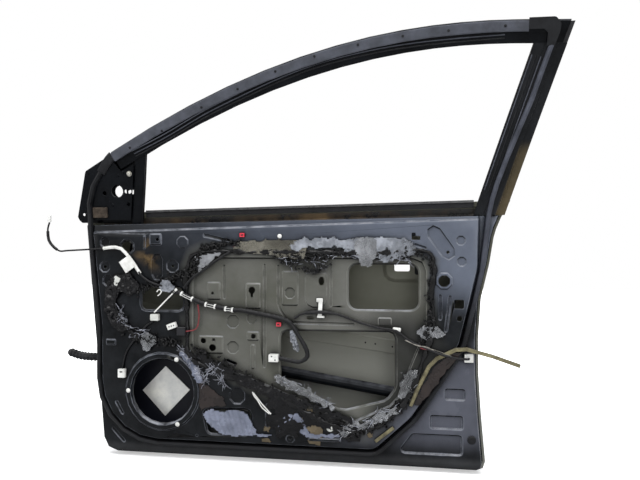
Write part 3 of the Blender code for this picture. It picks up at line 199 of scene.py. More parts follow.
def combine(tree, operation, first, second, **settings):
    return put(tree, "Math", {0: first, 1: second}, operation=operation, **settings).outputs[0]


def times(tree, first, second):
    return combine(tree, "MULTIPLY", first, second)


def span(tree, value, low, high, start=0, end=1, **settings):
    # low at the start and high at the end
    ends = {"Value": value, "From Min": start, "From Max": end, "To Min": low, "To Max": high}
    return put(tree, "MapRange", ends, **settings).outputs["Result"]


def blend(tree, factor, low, high):
    # colour between two colours or sockets
    return put(tree, "Mix", {"Factor": factor, 6: low, 7: high}, data_type="RGBA").outputs[2]


def facing(tree, axis):
    # how far the surface looks along one axis
    shape = put(tree, "NewGeometry")
    return put(tree, "SeparateXYZ", {0: shape.outputs["Normal"]}).outputs[axis]


def effect(tree, group, **values):
    return put(tree, "Group", values, node_tree=group).outputs["Mask"]


# ---- shared effects
def newGroup(name, inputs):
    group = bpy.data.node_groups.new(name, "ShaderNodeTree")
    for socket, value in inputs.items():
        made = group.interface.new_socket(socket, in_out="INPUT", socket_type="NodeSocketFloat")
        made.default_value = value
    group.interface.new_socket("Mask", in_out="OUTPUT", socket_type="NodeSocketFloat")
    return group, group.nodes.new("NodeGroupInput").outputs, group.nodes.new("NodeGroupOutput").inputs["Mask"]


def makeCloud(name, scale, low, high, inputs, **settings):
    group, given, mask = newGroup(name, {"Scale": scale, "Low": low, "High": high, "Seed": 0})
    place = put(group, "TexCoord")
    inputs = {"Vector": place.outputs["Object"], "Scale": given["Scale"], "W": given["Seed"], **inputs}
    cloud = put(group, "TexNoise", inputs, noise_dimensions="4D", **settings)
    group.links.new(span(group, cloud.outputs["Fac"], 0, 1, given["Low"], given["High"]), mask)
    return group


def makeZone():
    # 0 to 1 between two distances along one direction of the door
    group, given, mask = newGroup("zone", {"X": 1, "Z": 0, "Start": 0, "End": 1})
    place = put(group, "TexCoord")
    split = put(group, "SeparateXYZ", {0: place.outputs["Object"]})
    along = combine(group, "ADD", times(group, split.outputs["X"], given["X"]),
                    times(group, split.outputs["Z"], given["Z"]))
    group.links.new(span(group, along, 0, 1, given["Start"], given["End"], interpolation_type="SMOOTHSTEP"), mask)
    return group


def makeDust():
    # settled dust and painted highlight on what faces up, broken by patches
    group, given, mask = newGroup("dustAndHighlight", {"Amount": 0.5, "Scale": 30})
    up = span(group, facing(group, "Z"), 0.015, 1, 0.15, 0.9)
    patch = effect(group, mottle, Scale=given["Scale"], Low=0.38, High=0.72)
    group.links.new(combine(group, "MULTIPLY", times(group, up, patch), given["Amount"], use_clamp=True), mask)
    return group


def makeUnder():
    # where the surface looks down, for painted shade under edges
    group, given, mask = newGroup("under", {"Amount": 1})
    group.links.new(times(group, span(group, facing(group, "Z"), 0, 1, -0.12, -0.6), given["Amount"]), mask)
    return group


mottle = makeCloud("mottle", 8, 0.4, 0.7, {"Detail": 7, "Roughness": 0.62})  # soft patches over the surface
creases = makeCloud("creases", 40, 0.5, 1.1, {"Detail": 4, "Roughness": 0.5, "Distortion": 0.6},
                    noise_type="RIDGED_MULTIFRACTAL", normalize=False)  # thin lines where a film is folded
zone = makeZone()
dustAndHighlight = makeDust()
under = makeUnder()
print("shared effects")


# ---- finishes
def startFinish(name):
    material = bpy.data.materials.new(name)
    material.use_nodes = True
    return material, material.node_tree, material.node_tree.nodes["Principled BSDF"]


def patches(tree, scale, low, high, seed):
    return effect(tree, mottle, Scale=scale, Low=low, High=high, Seed=seed)


def region(tree, x, z, start, end):
    return effect(tree, zone, X=x, Z=z, Start=start, End=end)


def painted(tree, name):
    return put(tree, "Attribute", attribute_name=name).outputs["Fac"]


def roughen(tree, shader, mask, strength, distance):
    bump = put(tree, "Bump", {"Height": mask, "Strength": strength, "Distance": distance})
    feed(tree, shader, {"Normal": bump.outputs["Normal"]})


def cover(tree, shader, colour, rough, shine, **more):
    feed(tree, shader, {"Base Color": colour, "Roughness": rough, "Specular IOR Level": shine, **more})


def grain(tree, shader, scale, strength, distance, seed=4):
    roughen(tree, shader, patches(tree, scale, 0.3, 0.7, seed), strength, distance)


def paintedCornerShade(tree, colour, shade, reach, amount):
    # painted shade in corners, from ambient occlusion, and under edges that face down
    corner = put(tree, "AmbientOcclusion", {"Distance": reach}, samples=6)
    colour = blend(tree, effect(tree, under, Amount=amount), colour, shade)
    return blend(tree, span(tree, corner.outputs["AO"], 0, 1, 0.5, 0.96), blend(tree, amount, colour, shade), colour)


# what a finish has where its row says nothing else
usual = {"dustColour": (0.16, 0.16, 0.155), "metal": 0, "shine": 0.5, "grain": 900, "bump": 0.08, "depth": 0.0004}
finishes = {
    "black_paint": {"dark": (0.001, 0.0012, 0.0015), "light": (0.006, 0.007, 0.009), "scale": 7, "rough": (0.12, 0.3),
        "dustAndHighlight": 0.7, "dustColour": (0.13, 0.135, 0.15), "bump": 0.03, "grain": 500, "shine": 0.06},
    "dusty_rubber": {"dark": (0.038, 0.041, 0.05), "light": (0.084, 0.09, 0.11), "scale": 24, "rough": (0.7, 0.9),
        "dustAndHighlight": 0.35, "dustColour": (0.22, 0.23, 0.26), "bump": 0.35, "grain": 700, "shine": 0.25},
    "black_rubber": {"dark": (0.005, 0.005, 0.006), "light": (0.018, 0.019, 0.021), "scale": 20, "rough": (0.5, 0.8),
        "dustAndHighlight": 0.55, "bump": 0.25, "grain": 800, "shine": 0.12},
    "black_plastic": {"dark": (0.004, 0.004, 0.005), "light": (0.016, 0.016, 0.019), "scale": 25,
        "rough": (0.3, 0.55), "dustAndHighlight": 0.4, "bump": 0.2, "grain": 1500, "shine": 0.25},
    "white_plastic": {"dark": (0.55, 0.55, 0.52), "light": (0.8, 0.8, 0.78), "scale": 60, "rough": (0.35, 0.6),
        "dustAndHighlight": 0.25, "dustColour": (0.35, 0.33, 0.28), "bump": 0.15},
    "grey_plastic": {"dark": (0.42, 0.43, 0.4), "light": (0.62, 0.63, 0.6), "scale": 60, "rough": (0.35, 0.6),
        "dustAndHighlight": 0.3, "bump": 0.15},
    "red_plastic": {"dark": (0.5, 0.02, 0.04), "light": (0.8, 0.05, 0.08), "scale": 80, "rough": (0.3, 0.5),
        "bump": 0.12},
    "harness_tape": {"dark": (0.003, 0.003, 0.004), "light": (0.012, 0.012, 0.013), "scale": 60, "rough": (0.4, 0.7),
        "dustAndHighlight": 0.5, "dustColour": (0.1, 0.1, 0.1), "bump": 0.5, "grain": 320, "depth": 0.0008, "shine": 0.2},
    "red_wire": {"dark": (0.1, 0.008, 0.01), "light": (0.26, 0.02, 0.028), "scale": 90, "rough": (0.35, 0.6),
        "bump": 0.3, "grain": 400},
    "yellow_foam": {"dark": (0.075, 0.066, 0.045), "light": (0.27, 0.245, 0.14), "scale": 42, "rough": (0.85, 0.98),
        "dustAndHighlight": 0.3, "bump": 0.9, "grain": 420, "depth": 0.0012, "shine": 0.1},
    "brown_felt": {"dark": (0.034, 0.027, 0.022), "light": (0.088, 0.07, 0.054), "scale": 70, "rough": (0.9, 1),
        "bump": 0.8, "depth": 0.001, "shine": 0.1},
    "butyl": {"dark": (0.0015, 0.0015, 0.0015), "light": (0.007, 0.007, 0.008), "scale": 60, "rough": (0.1, 0.3),
        "bump": 0.3, "grain": 160, "depth": 0.001, "shine": 0.2},
    "bright_foil": {"dark": (0.44, 0.45, 0.45), "light": (0.8, 0.79, 0.73), "scale": 14, "rough": (0.26, 0.45),
        "metal": 0.45, "dustAndHighlight": 0.2, "bump": 0.35, "grain": 60, "depth": 0.0012},
    "wax_pool": {"dark": (0.06, 0.046, 0.026), "light": (0.13, 0.102, 0.06), "scale": 9, "rough": (0.2, 0.35),
        "bump": 0.1, "grain": 120, "shine": 0.3},
    "brown_gloss": {"dark": (0.007, 0.005, 0.005), "light": (0.024, 0.017, 0.015), "scale": 20, "rough": (0.2, 0.35),
        "bump": 0.1, "grain": 120, "shine": 0.25},
    "wire_grey": {"dark": (0.1, 0.095, 0.08), "light": (0.36, 0.34, 0.3), "scale": 120, "rough": (0.35, 0.6),
        "bump": 0.1, "grain": 400},
    # pale film strings, which also stand in for highlights along folds
    "loose_thread": {"dark": (0.02, 0.022, 0.03), "light": (0.46, 0.48, 0.55), "scale": 75, "rough": (0.2, 0.4),
        "bump": 0.1, "grain": 300},
    "zinc_steel": {"dark": (0.3, 0.29, 0.25), "light": (0.5, 0.49, 0.45), "scale": 90, "rough": (0.3, 0.5),
        "metal": 0.9, "bump": 0.15},
}


def plainFinish(name, look):
    look = {**usual, **look}
    material, tree, shader = startFinish(name)
    patch = patches(tree, look["scale"], 0.35, 0.7, 1)
    colour = blend(tree, patch, look["dark"], look["light"])
    if "dustAndHighlight" in look:
        amount = effect(tree, dustAndHighlight, Amount=look["dustAndHighlight"], Scale=look["scale"] * 2.5)
        colour = blend(tree, amount, colour, look["dustColour"])
    cover(tree, shader, colour, span(tree, patch, *look["rough"]), look["shine"], Metallic=look["metal"])
    grain(tree, shader, look["grain"], look["bump"], look["depth"], seed=3)
    return material


panelLook = {
    "deep": (0.0015, 0.002, 0.0025),     # bare dark paint
    "worn": (0.008, 0.0095, 0.0115),
    "paintedSheen": (0.118, 0.134, 0.172),      # painted sheen: reflection over the upper rear
    "pocket": (0.082, 0.087, 0.108),     # lower rear corner
    "olive": (0.074, 0.075, 0.062),      # protected middle
    "oliveLight": (0.125, 0.125, 0.115),
    "wax": (0.150, 0.098, 0.042),
    "inside": (0.060, 0.058, 0.045),
    # painted highlight on what faces up, with settled dust
    "dustAndTopHighlight": (0.30, 0.31, 0.34),
    "sill": (0.034, 0.035, 0.037),       # road dust along the bottom
    "shade": (0.0015, 0.0015, 0.002),
    "rim": (0.20, 0.215, 0.25),          # light caught on the pressed edges
    "oliveRim": (0.235, 0.235, 0.215),
    "patches": (7, 0.36, 0.68, 2),       # scale, low, high, seed
    "olivePatches": (5, 0.35, 0.7, 5),
    "drips": (26, 0.42, 0.58, 8),
    "highlightBreakup": (34, 0.4, 0.62, 12),
    "rearward": (1, 0.1, -0.02, 1.05),   # x share, z share, start, end
    "upward": (0.15, 1, 0.01, 0.13),
    "pocketSlope": (0.62, -0.79, 0.735, 0.775),
    "pocketHeight": (0, 1, -0.455, -0.395),
    "shadedRear": (1, 0, 0.70, 0.78),
    "shadedLow": (0, -1, 0.06, 0.16),
    "sillHeight": (0, -1, 0.452, 0.470),
}


def paintPanel(name, look):
    material, tree, shader = startFinish(name)
    patch = patches(tree, *look["patches"])
    colour = blend(tree, patch, look["deep"], look["worn"])
    # painted sheen: a reflection over the upper rear, broken by patches
    high = times(tree, region(tree, *look["rearward"]), region(tree, *look["upward"]))
    colour = blend(tree, times(tree, high, span(tree, patch, 0.75, 1)), colour, look["paintedSheen"])
    pocket = times(tree, region(tree, *look["pocketSlope"]), region(tree, *look["pocketHeight"]))
    colour = blend(tree, times(tree, pocket, span(tree, patch, 0.6, 1)), colour, look["pocket"])
    middle = painted(tree, "recess")
    tone = blend(tree, patches(tree, *look["olivePatches"]), look["olive"], look["oliveLight"])
    shaded = times(tree, region(tree, *look["shadedRear"]), region(tree, *look["shadedLow"]))
    tone = blend(tree, times(tree, shaded, 0.75), tone, look["deep"])
    colour = blend(tree, middle, colour, tone)
    drips = times(tree, painted(tree, "wax"), patches(tree, *look["drips"]))
    colour = blend(tree, drips, colour, look["wax"])
    sill = times(tree, region(tree, *look["sillHeight"]), span(tree, patch, 0.5, 0.9))
    colour = blend(tree, sill, colour, look["sill"])
    colour = blend(tree, painted(tree, "behind"), colour, look["inside"])
    # painted highlight and settled dust on the up-facing pressed edges
    colour = blend(tree, effect(tree, dustAndHighlight, Amount=1.5, Scale=24), colour, look["dustAndTopHighlight"])
    # painted highlight on the narrow pressed edges, broken by patches
    caught = times(tree, painted(tree, "edge"), span(tree, patches(tree, *look["highlightBreakup"]), 0.10, 0.62))
    colour = blend(tree, caught, colour, blend(tree, middle, look["rim"], look["oliveRim"]))
    # painted shade in corners and under edges goes into the colour here
    cover(tree, shader, paintedCornerShade(tree, colour, look["shade"], 0.024, 0.92), span(tree, patch, 0.12, 0.30), 0.10)
    grain(tree, shader, 420, 0.05, 0.0004)
    return material


skinLook = {
    "outer": (0.006, 0.007, 0.008),
    "outerDust": (0.11, 0.11, 0.11),
    "roadFilm": (0.060, 0.058, 0.054),
    "inner": (0.088, 0.088, 0.066),
    "innerLight": (0.150, 0.152, 0.134),
    "innerPatch": (0.20, 0.20, 0.18),
    "navy": (0.004, 0.0045, 0.008),
    "patches": (4, 0.35, 0.7, 6),
    "filmPatches": (16, 0.35, 0.75, 11),
    "innerLow": (0, -1, 0.05, 0.30),
    "filmLow": (0, -1, 0.10, 0.50),
    "navyFront": (-1, 0, -0.345, -0.300),  # behind the speaker hole
    "navyLow": (0, -1, 0.185, 0.215),
}


def paintSkin(name, look):
    # dark gloss on the outside, olive primer on the inside, black behind the speaker hole
    material, tree, shader = startFinish(name)
    side = span(tree, facing(tree, "Y"), 0, 1, -0.3, 0.3)
    patch = patches(tree, *look["patches"])
    inner = blend(tree, region(tree, *look["innerLow"]), look["inner"], look["innerLight"])
    inner = blend(tree, span(tree, patch, 0, 0.25), inner, look["innerPatch"])
    dark = times(tree, region(tree, *look["navyFront"]), region(tree, *look["navyLow"]))
    inner = blend(tree, dark, inner, look["navy"])
    outer = blend(tree, effect(tree, dustAndHighlight, Amount=0.4, Scale=24), look["outer"], look["outerDust"])
    film = times(tree, region(tree, *look["filmLow"]), patches(tree, *look["filmPatches"]))
    outer = blend(tree, times(tree, film, 0.35), outer, look["roadFilm"])
    feed(tree, shader, {"Coat Weight": span(tree, side, 0, 0.4)})
    cover(tree, shader, blend(tree, side, inner, outer), span(tree, side, 0.42, 0.14), 0.14)
    grain(tree, shader, 300, 0.04, 0.0004)
    return material


primerLook = {"base": (0.009, 0.009, 0.009), "wax": (0.085, 0.055, 0.026), "dark": (0.004, 0.004, 0.005)}


def paintPrimer(name, look):
    # waxed reinforcements under the belt
    material, tree, shader = startFinish(name)
    patch = patches(tree, 14, 0.42, 0.6, 9)
    colour = blend(tree, patches(tree, 5, 0.4, 0.6, 3), blend(tree, patch, look["dark"], look["wax"]), look["base"])
    cover(tree, shader, colour, span(tree, patch, 0.25, 0.5), 0.3)
    grain(tree, shader, 240, 0.15, 0.0005)
    return material


sashLook = {
    "dark": (0.003, 0.0035, 0.004),
    "light": (0.014, 0.015, 0.018),
    "wax": (0.085, 0.066, 0.036),
    "dustAndHighlight": (0.13, 0.135, 0.15),
    "stripAcross": (1, -0.3275, 0.990, 0.996),
    "stripHeight": (0, -1, -0.300, -0.262),
}


def paintSash(name, look):
    # black frame with wax run down its outer strip
    material, tree, shader = startFinish(name)
    patch = patches(tree, 7, 0.35, 0.7, 1)
    strip = times(tree, region(tree, *look["stripAcross"]), region(tree, *look["stripHeight"]))
    colour = blend(tree, times(tree, strip, span(tree, patch, 0.6, 1)),
                   blend(tree, patch, look["dark"], look["light"]), look["wax"])
    colour = blend(tree, effect(tree, dustAndHighlight, Amount=0.9, Scale=18), colour, look["dustAndHighlight"])
    cover(tree, shader, colour, span(tree, patch, 0.16, 0.36), 0.1)
    return material


stripLook = {
    "low": ((0.004, 0.004, 0.005), (0.016, 0.017, 0.019)),
    "high": ((0.036, 0.039, 0.050), (0.080, 0.086, 0.108)),
    "rear": (1, 0.5, 0.88, 1.04),
}


def paintStrip(name, look):
    # door seal: black low down, dusty blue-grey up the rear
    material, tree, shader = startFinish(name)
    patch = patches(tree, 20, 0.35, 0.7, 1)
    colour = blend(tree, region(tree, *look["rear"]), blend(tree, patch, *look["low"]),
                   blend(tree, patch, *look["high"]))
    cover(tree, shader, colour, span(tree, patch, 0.55, 0.8), 0.15)
    grain(tree, shader, 800, 0.25, 0.0004, seed=3)
    return material


# folds: scale, low, high and seed of the creases
filmLooks = {
    "clear_film": {"thin": (0.12, 0.125, 0.13), "thick": (0.3, 0.31, 0.33), "creaseWhiteAndHighlight": (0.72, 0.74, 0.78),
        "alpha": (0.32, 0.75), "folds": (22, 1.25, 1.9, 1), "bump": 0.4},
    "amber_film": {"thin": (0.085, 0.08, 0.062), "thick": (0.17, 0.16, 0.13), "creaseWhiteAndHighlight": (0.5, 0.49, 0.44),
        "alpha": (0.45, 0.8), "folds": (16, 1.4, 2, 6), "bump": 0.4},
    "pale_film": {"thin": (0.055, 0.06, 0.07), "thick": (0.3, 0.32, 0.36), "creaseWhiteAndHighlight": (0.72, 0.74, 0.8),
        "alpha": (0.55, 0.95), "folds": (30, 1.15, 1.9, 2), "bump": 0.5},
    "sill_film": {"thin": (0.075, 0.086, 0.122), "thick": (0.185, 0.205, 0.275), "creaseWhiteAndHighlight": (0.48, 0.51, 0.6),
        "alpha": (0.9, 1), "folds": (15, 1.35, 2.1, 3), "bump": 0.3},
    # on the dark film the crease colour is a painted highlight
    "dark_film": {"thin": (0.0015, 0.0015, 0.002), "thick": (0.006, 0.006, 0.007), "creaseWhiteAndHighlight": (0.46, 0.48, 0.53),
        "alpha": (0.97, 1), "folds": (26, 1.9, 2.3, 4), "bump": 0.3, "shine": 0.16, "rough": (0.06, 0.2)},
}


def paintFilm(name, look):
    # torn polythene: milky, white along its creases, and with painted highlights on the crease lines
    material, tree, shader = startFinish(name)
    scale, low, high, seed = look["folds"]
    lines = effect(tree, creases, Scale=scale, Low=low, High=high, Seed=seed)
    cloudy = patches(tree, 14, 0.36, 0.64, seed + 2)
    body = blend(tree, cloudy, look["thin"], look["thick"])
    alpha = combine(tree, "MAXIMUM", span(tree, cloudy, *look["alpha"]), times(tree, lines, 0.95))
    rough = span(tree, cloudy, *look.get("rough", (0.14, 0.34)))
    cover(tree, shader, blend(tree, lines, body, look["creaseWhiteAndHighlight"]), rough, look.get("shine", 0.5), Alpha=alpha)
    roughen(tree, shader, lines, look["bump"], 0.0012)
    return material


made = {name: plainFinish(name, look) for name, look in finishes.items()}
made["grey_paint"] = paintPanel("pressedPanel", panelLook)
made["olive_primer"] = paintPrimer("waxedPrimer", primerLook)
made["outerSkin"] = paintSkin("outerSkin", skinLook)
made["rearSash"] = paintSash("rearSash", sashLook)
made["doorSeal"] = paintStrip("doorSeal", stripLook)
for name, look in filmLooks.items():
    made[name] = paintFilm(name, look)


def assign(piece, material):
    if len(piece.data.materials) == 0:
        piece.data.materials.append(material)
    for i in range(len(piece.data.materials)):
        piece.data.materials[i] = material


def dressNodes():
    slots = {entry["node"]: entry["material_slot"] for entry in frame["record"]["subparts"]}
    for name, piece in nodes.items():
        assign(piece, made[slots[name]])
    for name, finish in (("outer_panel", "outerSkin"), ("rear_sash", "rearSash"), ("door_weatherstrip", "doorSeal")):
        assign(nodes[name], made[finish])
    assign(lead, made["harness_tape"])


dressNodes()
print("finishes:", len(made))


# ---- modelling helpers
def settle(piece):
    # place, turn and size go into the mesh
    only(piece)
    bpy.ops.object.transform_apply(location=True, rotation=True, scale=True)


def takeNew(name, size=(1, 1, 1)):
    # the primitive that was just added
    piece = bpy.context.active_object
    piece.name = name
    piece.scale = size
    settle(piece)
    return piece


def applyAll(piece):
    only(piece)
    for modifier in list(piece.modifiers):
        bpy.ops.object.modifier_apply(modifier=modifier.name)


def inEdit(piece, selection):
    only(piece)
    bpy.ops.object.mode_set(mode="EDIT")
    bpy.ops.mesh.select_all(action=selection)


def leaveEdit():
    bpy.ops.object.mode_set(mode="OBJECT")


def roundEdges(piece, edge):
    inEdit(piece, "SELECT")
    bpy.ops.mesh.bevel(offset=edge, segments=2, affect="EDGES")
    leaveEdit()
    smooth(40)
    return piece


def own(piece, slot, finish=None, replaced=()):
    assign(piece, made[finish or slot])
    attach(piece, "root")
    for node in replaced:
        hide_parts(node)
    return piece


def insideLoop(x, z, loop):
    found = False
    for i, (x1, z1) in enumerate(loop):
        x0, z0 = loop[i - 1]
        if (z0 > z) != (z1 > z) and x < (x0 - x1) * (z - z1) / (z0 - z1) + x1:
            found = not found
    return found


# ---- pressed inner panel
pressed = {
    "edge": 0.0012,
    "bevelAngle": 24,
    "narrow": 0.0016,  # faces slimmer than this catch the light
    "recess": ((287, -226), (405, -272), (500, -308), (690, -386), (803, -332), (876, -150), (876, 26), (318, 26),
               (287, -9)),
    "waxSpots": ((0.165, 0.020, 0.022), (0.165, 0.055, 0.012), (0.36, -0.25, 0.02), (1.02, -0.20, 0.02)),
}


def copyNode(name, node):
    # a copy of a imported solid, with its loose triangles joined
    piece = bpy.data.objects.new(name, nodes[node].data.copy())
    scene.collection.objects.link(piece)
    inEdit(piece, "SELECT")
    bpy.ops.mesh.remove_doubles(threshold=0.00002)
    leaveEdit()
    return piece


def softenEdges(piece):
    bevel = piece.modifiers.new("soft", "BEVEL")
    bevel.width = pressed["edge"]
    bevel.segments = 2
    bevel.limit_method = "ANGLE"
    bevel.angle_limit = math.radians(pressed["bevelAngle"])
    bevel.use_clamp_overlap = False
    bevel.miter_outer = "MITER_ARC"
    applyAll(piece)
    smooth(35)


def makePressedPanel():
    panel = copyNode("pressedPanel", "inner_panel")
    softenEdges(panel)
    mesh = panel.data
    recess = metres(pressed["recess"])
    masks = {name: mesh.attributes.new(name, "FLOAT", "POINT") for name in ("recess", "wax", "behind")}
    for i, vertex in enumerate(mesh.vertices):
        x, y, z = vertex.co
        masks["recess"].data[i].value = 1.0 if insideLoop(x, z, recess) else 0.0
        near = max(0.0, max(1 - math.hypot(x - a, z - b) / r for a, b, r in pressed["waxSpots"]))
        masks["wax"].data[i].value = min(1.0, near * 2.5)
        masks["behind"].data[i].value = 1.0 if vertex.normal.y > 0.5 else 0.0
    # narrow sloped faces towards the cabin take the painted highlight
    strips = mesh.attributes.new("edge", "FLOAT", "FACE")
    for face in mesh.polygons:
        longest = max((mesh.vertices[a].co - mesh.vertices[b].co).length for a, b in face.edge_keys)
        narrow = face.area < pressed["narrow"] * longest
        strips.data[face.index].value = 1.0 if narrow and -0.97 < face.normal.y < -0.2 else 0.0
    return own(panel, "grey_paint", replaced=["inner_panel"])


pressedPanel = makePressedPanel()
print("pressed panel:", len(pressedPanel.data.polygons), "faces")

# ---- torn film, with what a piece has where its row says nothing else
usualFilm = {"size": 0.016, "billow": 0.003, "tear": 0.004, "cell": 0.003, "holes": 0, "holeScale": 60}


def cutOutline(piece, loop, look):
    # ragged edge and torn holes
    seed = look["seed"]
    inEdit(piece, "DESELECT")
    leaveEdit()
    for vertex in piece.data.vertices:
        x, y, z = vertex.co
        shift = Vector((noise.noise(vertex.co * 70 + Vector((seed, 0, 0))),
                        noise.noise(vertex.co * 70 + Vector((0, 7 + seed, 0))))) * look["tear"]
        outside = not insideLoop(x + shift.x, z + shift.y, loop)
        patch = noise.noise(vertex.co * look["holeScale"] + Vector((3 * seed, 0, 5)))
        vertex.select = outside or (look["holes"] > 0 and patch > 0.62 - look["holes"])
    bpy.ops.object.mode_set(mode="EDIT")
    bpy.ops.mesh.delete(type="VERT")
    leaveEdit()


def crumple(piece, look):
    # ridges, slow billows and, where asked, long folds
    seed = look["seed"]
    for vertex in piece.data.vertices:
        at = vertex.co * (1 / look["size"]) + Vector((seed, seed * 2.3, -seed))
        lift = look["height"] * (abs(noise.noise(at)) + 0.35 * abs(noise.noise(at * 2.1)))
        lift += max(0.0, noise.noise(vertex.co * 24 + Vector((9, seed, 0)))) * look["billow"]
        if "folds" in look:
            across = vertex.co.x + 0.25 * (vertex.co.z + 0.39) + 0.004 * noise.noise(vertex.co * 30)
            depth = 0.0018 * (0.4 + abs(noise.noise(vertex.co * 45)))
            lift += depth * (1 + math.sin(across * 2 * math.pi / look["folds"]))
        vertex.co.y -= lift
        vertex.co.x += 0.0015 * noise.noise(vertex.co * 200)
        vertex.co.z += 0.0015 * noise.noise(vertex.co * 170 + Vector((5, 0, 0)))


def filmSheet(name, loop, level, look):
    look = {**usualFilm, **look}
    xs, zs = zip(*loop)
    width, tall = max(xs) - min(xs), max(zs) - min(zs)
    across, up = (max(3, int(size / look["cell"])) for size in (width, tall))
    middle = ((max(xs) + min(xs)) / 2, level, (max(zs) + min(zs)) / 2)
    bpy.ops.mesh.primitive_grid_add(x_subdivisions=across, y_subdivisions=up, size=1, location=middle,
                                    rotation=(math.pi / 2, 0, 0))
    piece = takeNew(name, (width, tall, 1))
    cutOutline(piece, loop, look)
    crumple(piece, look)
    wall = piece.modifiers.new("wall", "SOLIDIFY")
    wall.thickness = 0.0003
    wall.offset = 0
    applyAll(piece)
    smooth(50)
    return piece


# node that it replaces, finish, level, outline in mm, form
films = {
    "filmTopLeft": ("film_top", "amber_film", -0.0441, ((390, 46), (408, 60), (459, 66), (540, 68), (585, 66),
        (580, 16), (540, 19), (490, 26), (439, 33), (403, 38)), {"height": 0.0014, "size": 0.03, "seed": 1}),
    "filmTopRight": (None, "pale_film", -0.0444, ((540, 63), (578, 71), (640, 73), (677, 66), (713, 74), (810, 73),
        (838, 63), (853, 44), (843, 23), (810, 22), (774, 8), (752, 20), (718, 22), (689, 34), (667, 44), (628, 46),
        (578, 44), (545, 36)), {"height": 0.0034, "size": 0.026, "billow": 0.004, "seed": 3, "tear": 0.008}),
    "filmTopMid": (None, "clear_film", -0.047, ((694, 70), (743, 75), (757, 66), (755, 27), (738, 0), (713, 4),
        (699, 41)), {"height": 0.0024, "size": 0.02, "billow": 0.002, "seed": 4}),
    "filmLeft": ("film_left", "clear_film", -0.0441, ((296, 24), (304, -20), (318, -10), (352, 22), (390, 43),
        (340, 34)), {"height": 0.0016, "size": 0.02, "billow": 0.002, "seed": 5}),
    "filmDiagonal": ("film_lower", "dark_film", -0.0441, ((262, -218), (330, -252), (420, -296), (500, -328),
        (600, -358), (690, -400), (716, -390), (684, -362), (600, -334), (505, -300), (405, -262), (300, -214)),
        {"height": 0.006, "size": 0.018, "billow": 0.004, "seed": 7, "holes": 0.1, "tear": 0.008}),
    "filmSill": ("film_sill", "sill_film", -0.0416, ((315, -373), (335, -358), (364, -362), (395, -356), (423, -361),
        (439, -375), (454, -402), (457, -414), (497, -417), (497, -424), (434, -423), (374, -425), (348, -412),
        (327, -393)), {"height": 0.0012, "size": 0.03, "billow": 0.002, "seed": 9, "folds": 0.013, "tear": 0.003}),
    "filmSmear": (None, "sill_film", -0.0418, ((505, -400), (525, -369), (540, -361), (565, -362), (580, -386),
        (590, -408), (667, -407), (667, -416), (580, -421), (563, -402), (548, -380), (530, -389), (513, -409)),
        {"height": 0.002, "billow": 0.002, "seed": 10, "tear": 0.005, "cell": 0.002}),
    "filmNearSpeaker": (None, "sill_film", -0.043, ((257, -215), (274, -223), (298, -248), (316, -285), (309, -297),
        (293, -291), (280, -258), (253, -226)), {"height": 0.004, "size": 0.014, "seed": 13, "tear": 0.006,
        "cell": 0.002}),
    "filmCrumpled": (None, "clear_film", -0.044, ((154, -173), (173, -167), (194, -179), (194, -197), (175, -218),
        (156, -216)), {"height": 0.008, "seed": 11, "cell": 0.002}),
    "filmRearScrap": (None, "clear_film", -0.042, ((817, -251), (850, -240), (855, -257), (848, -288), (829, -318),
        (805, -312), (810, -285)), {"height": 0.008, "size": 0.014, "seed": 15, "tear": 0.008, "cell": 0.002}),
    "filmRearUpper": (None, "clear_film", -0.042, ((848, -150), (867, -140), (900, -139), (918, -158), (881, -175),
        (857, -169)), {"height": 0.007, "size": 0.012, "seed": 16, "tear": 0.008, "cell": 0.002}),
    "filmWeb": (None, "dark_film", -0.0416, ((480, -330), (510, -322), (560, -345), (640, -362), (700, -398),
        (720, -424), (690, -428), (640, -396), (586, -390), (560, -420), (500, -424), (476, -384)), {"height": 0.005,
        "size": 0.014, "seed": 17, "holes": 0.2, "holeScale": 34, "tear": 0.006}),
    "filmFront": (None, "dark_film", -0.042, ((55, -64), (61, -38), (85, -22), (116, -17), (143, -39), (148, -62),
        (129, -78), (113, -76), (99, -68), (85, -89), (91, -110), (113, -143), (127, -155), (105, -169), (88, -169),
        (66, -146), (52, -115)), {"height": 0.01, "size": 0.013, "billow": 0.004, "seed": 19, "tear": 0.005,
        "cell": 0.002}),
    "filmDiagonalScrap": (None, "clear_film", -0.044, ((500, -268), (515, -266), (545, -281), (585, -296),
        (620, -318), (655, -338), (650, -352), (605, -334), (560, -312), (520, -296), (500, -282)), {"height": 0.007,
        "size": 0.01, "seed": 25, "tear": 0.008, "cell": 0.002, "holes": 0.1}),
    "filmLowerScrap": (None, "clear_film", -0.044, ((660, -400), (690, -376), (722, -374), (758, -348), (800, -330),
        (812, -344), (775, -368), (735, -392), (700, -396), (672, -416)), {"height": 0.007, "size": 0.01, "seed": 27,
        "tear": 0.008, "cell": 0.002, "holes": 0.12}),
    "filmBundle": (None, "pale_film", -0.04, ((539, -158), (549, -153), (559, -175), (566, -204), (559, -214),
        (546, -202), (541, -180)), {"height": 0.008, "size": 0.008, "billow": 0.004, "seed": 23, "cell": 0.0016}),
    "filmAtTrunk": (None, "pale_film", -0.048, ((202, -47), (218, -34), (237, -39), (245, -54), (234, -69),
        (210, -67)), {"height": 0.006, "size": 0.01, "seed": 21, "cell": 0.002}),
}

poolLevel = -0.0414
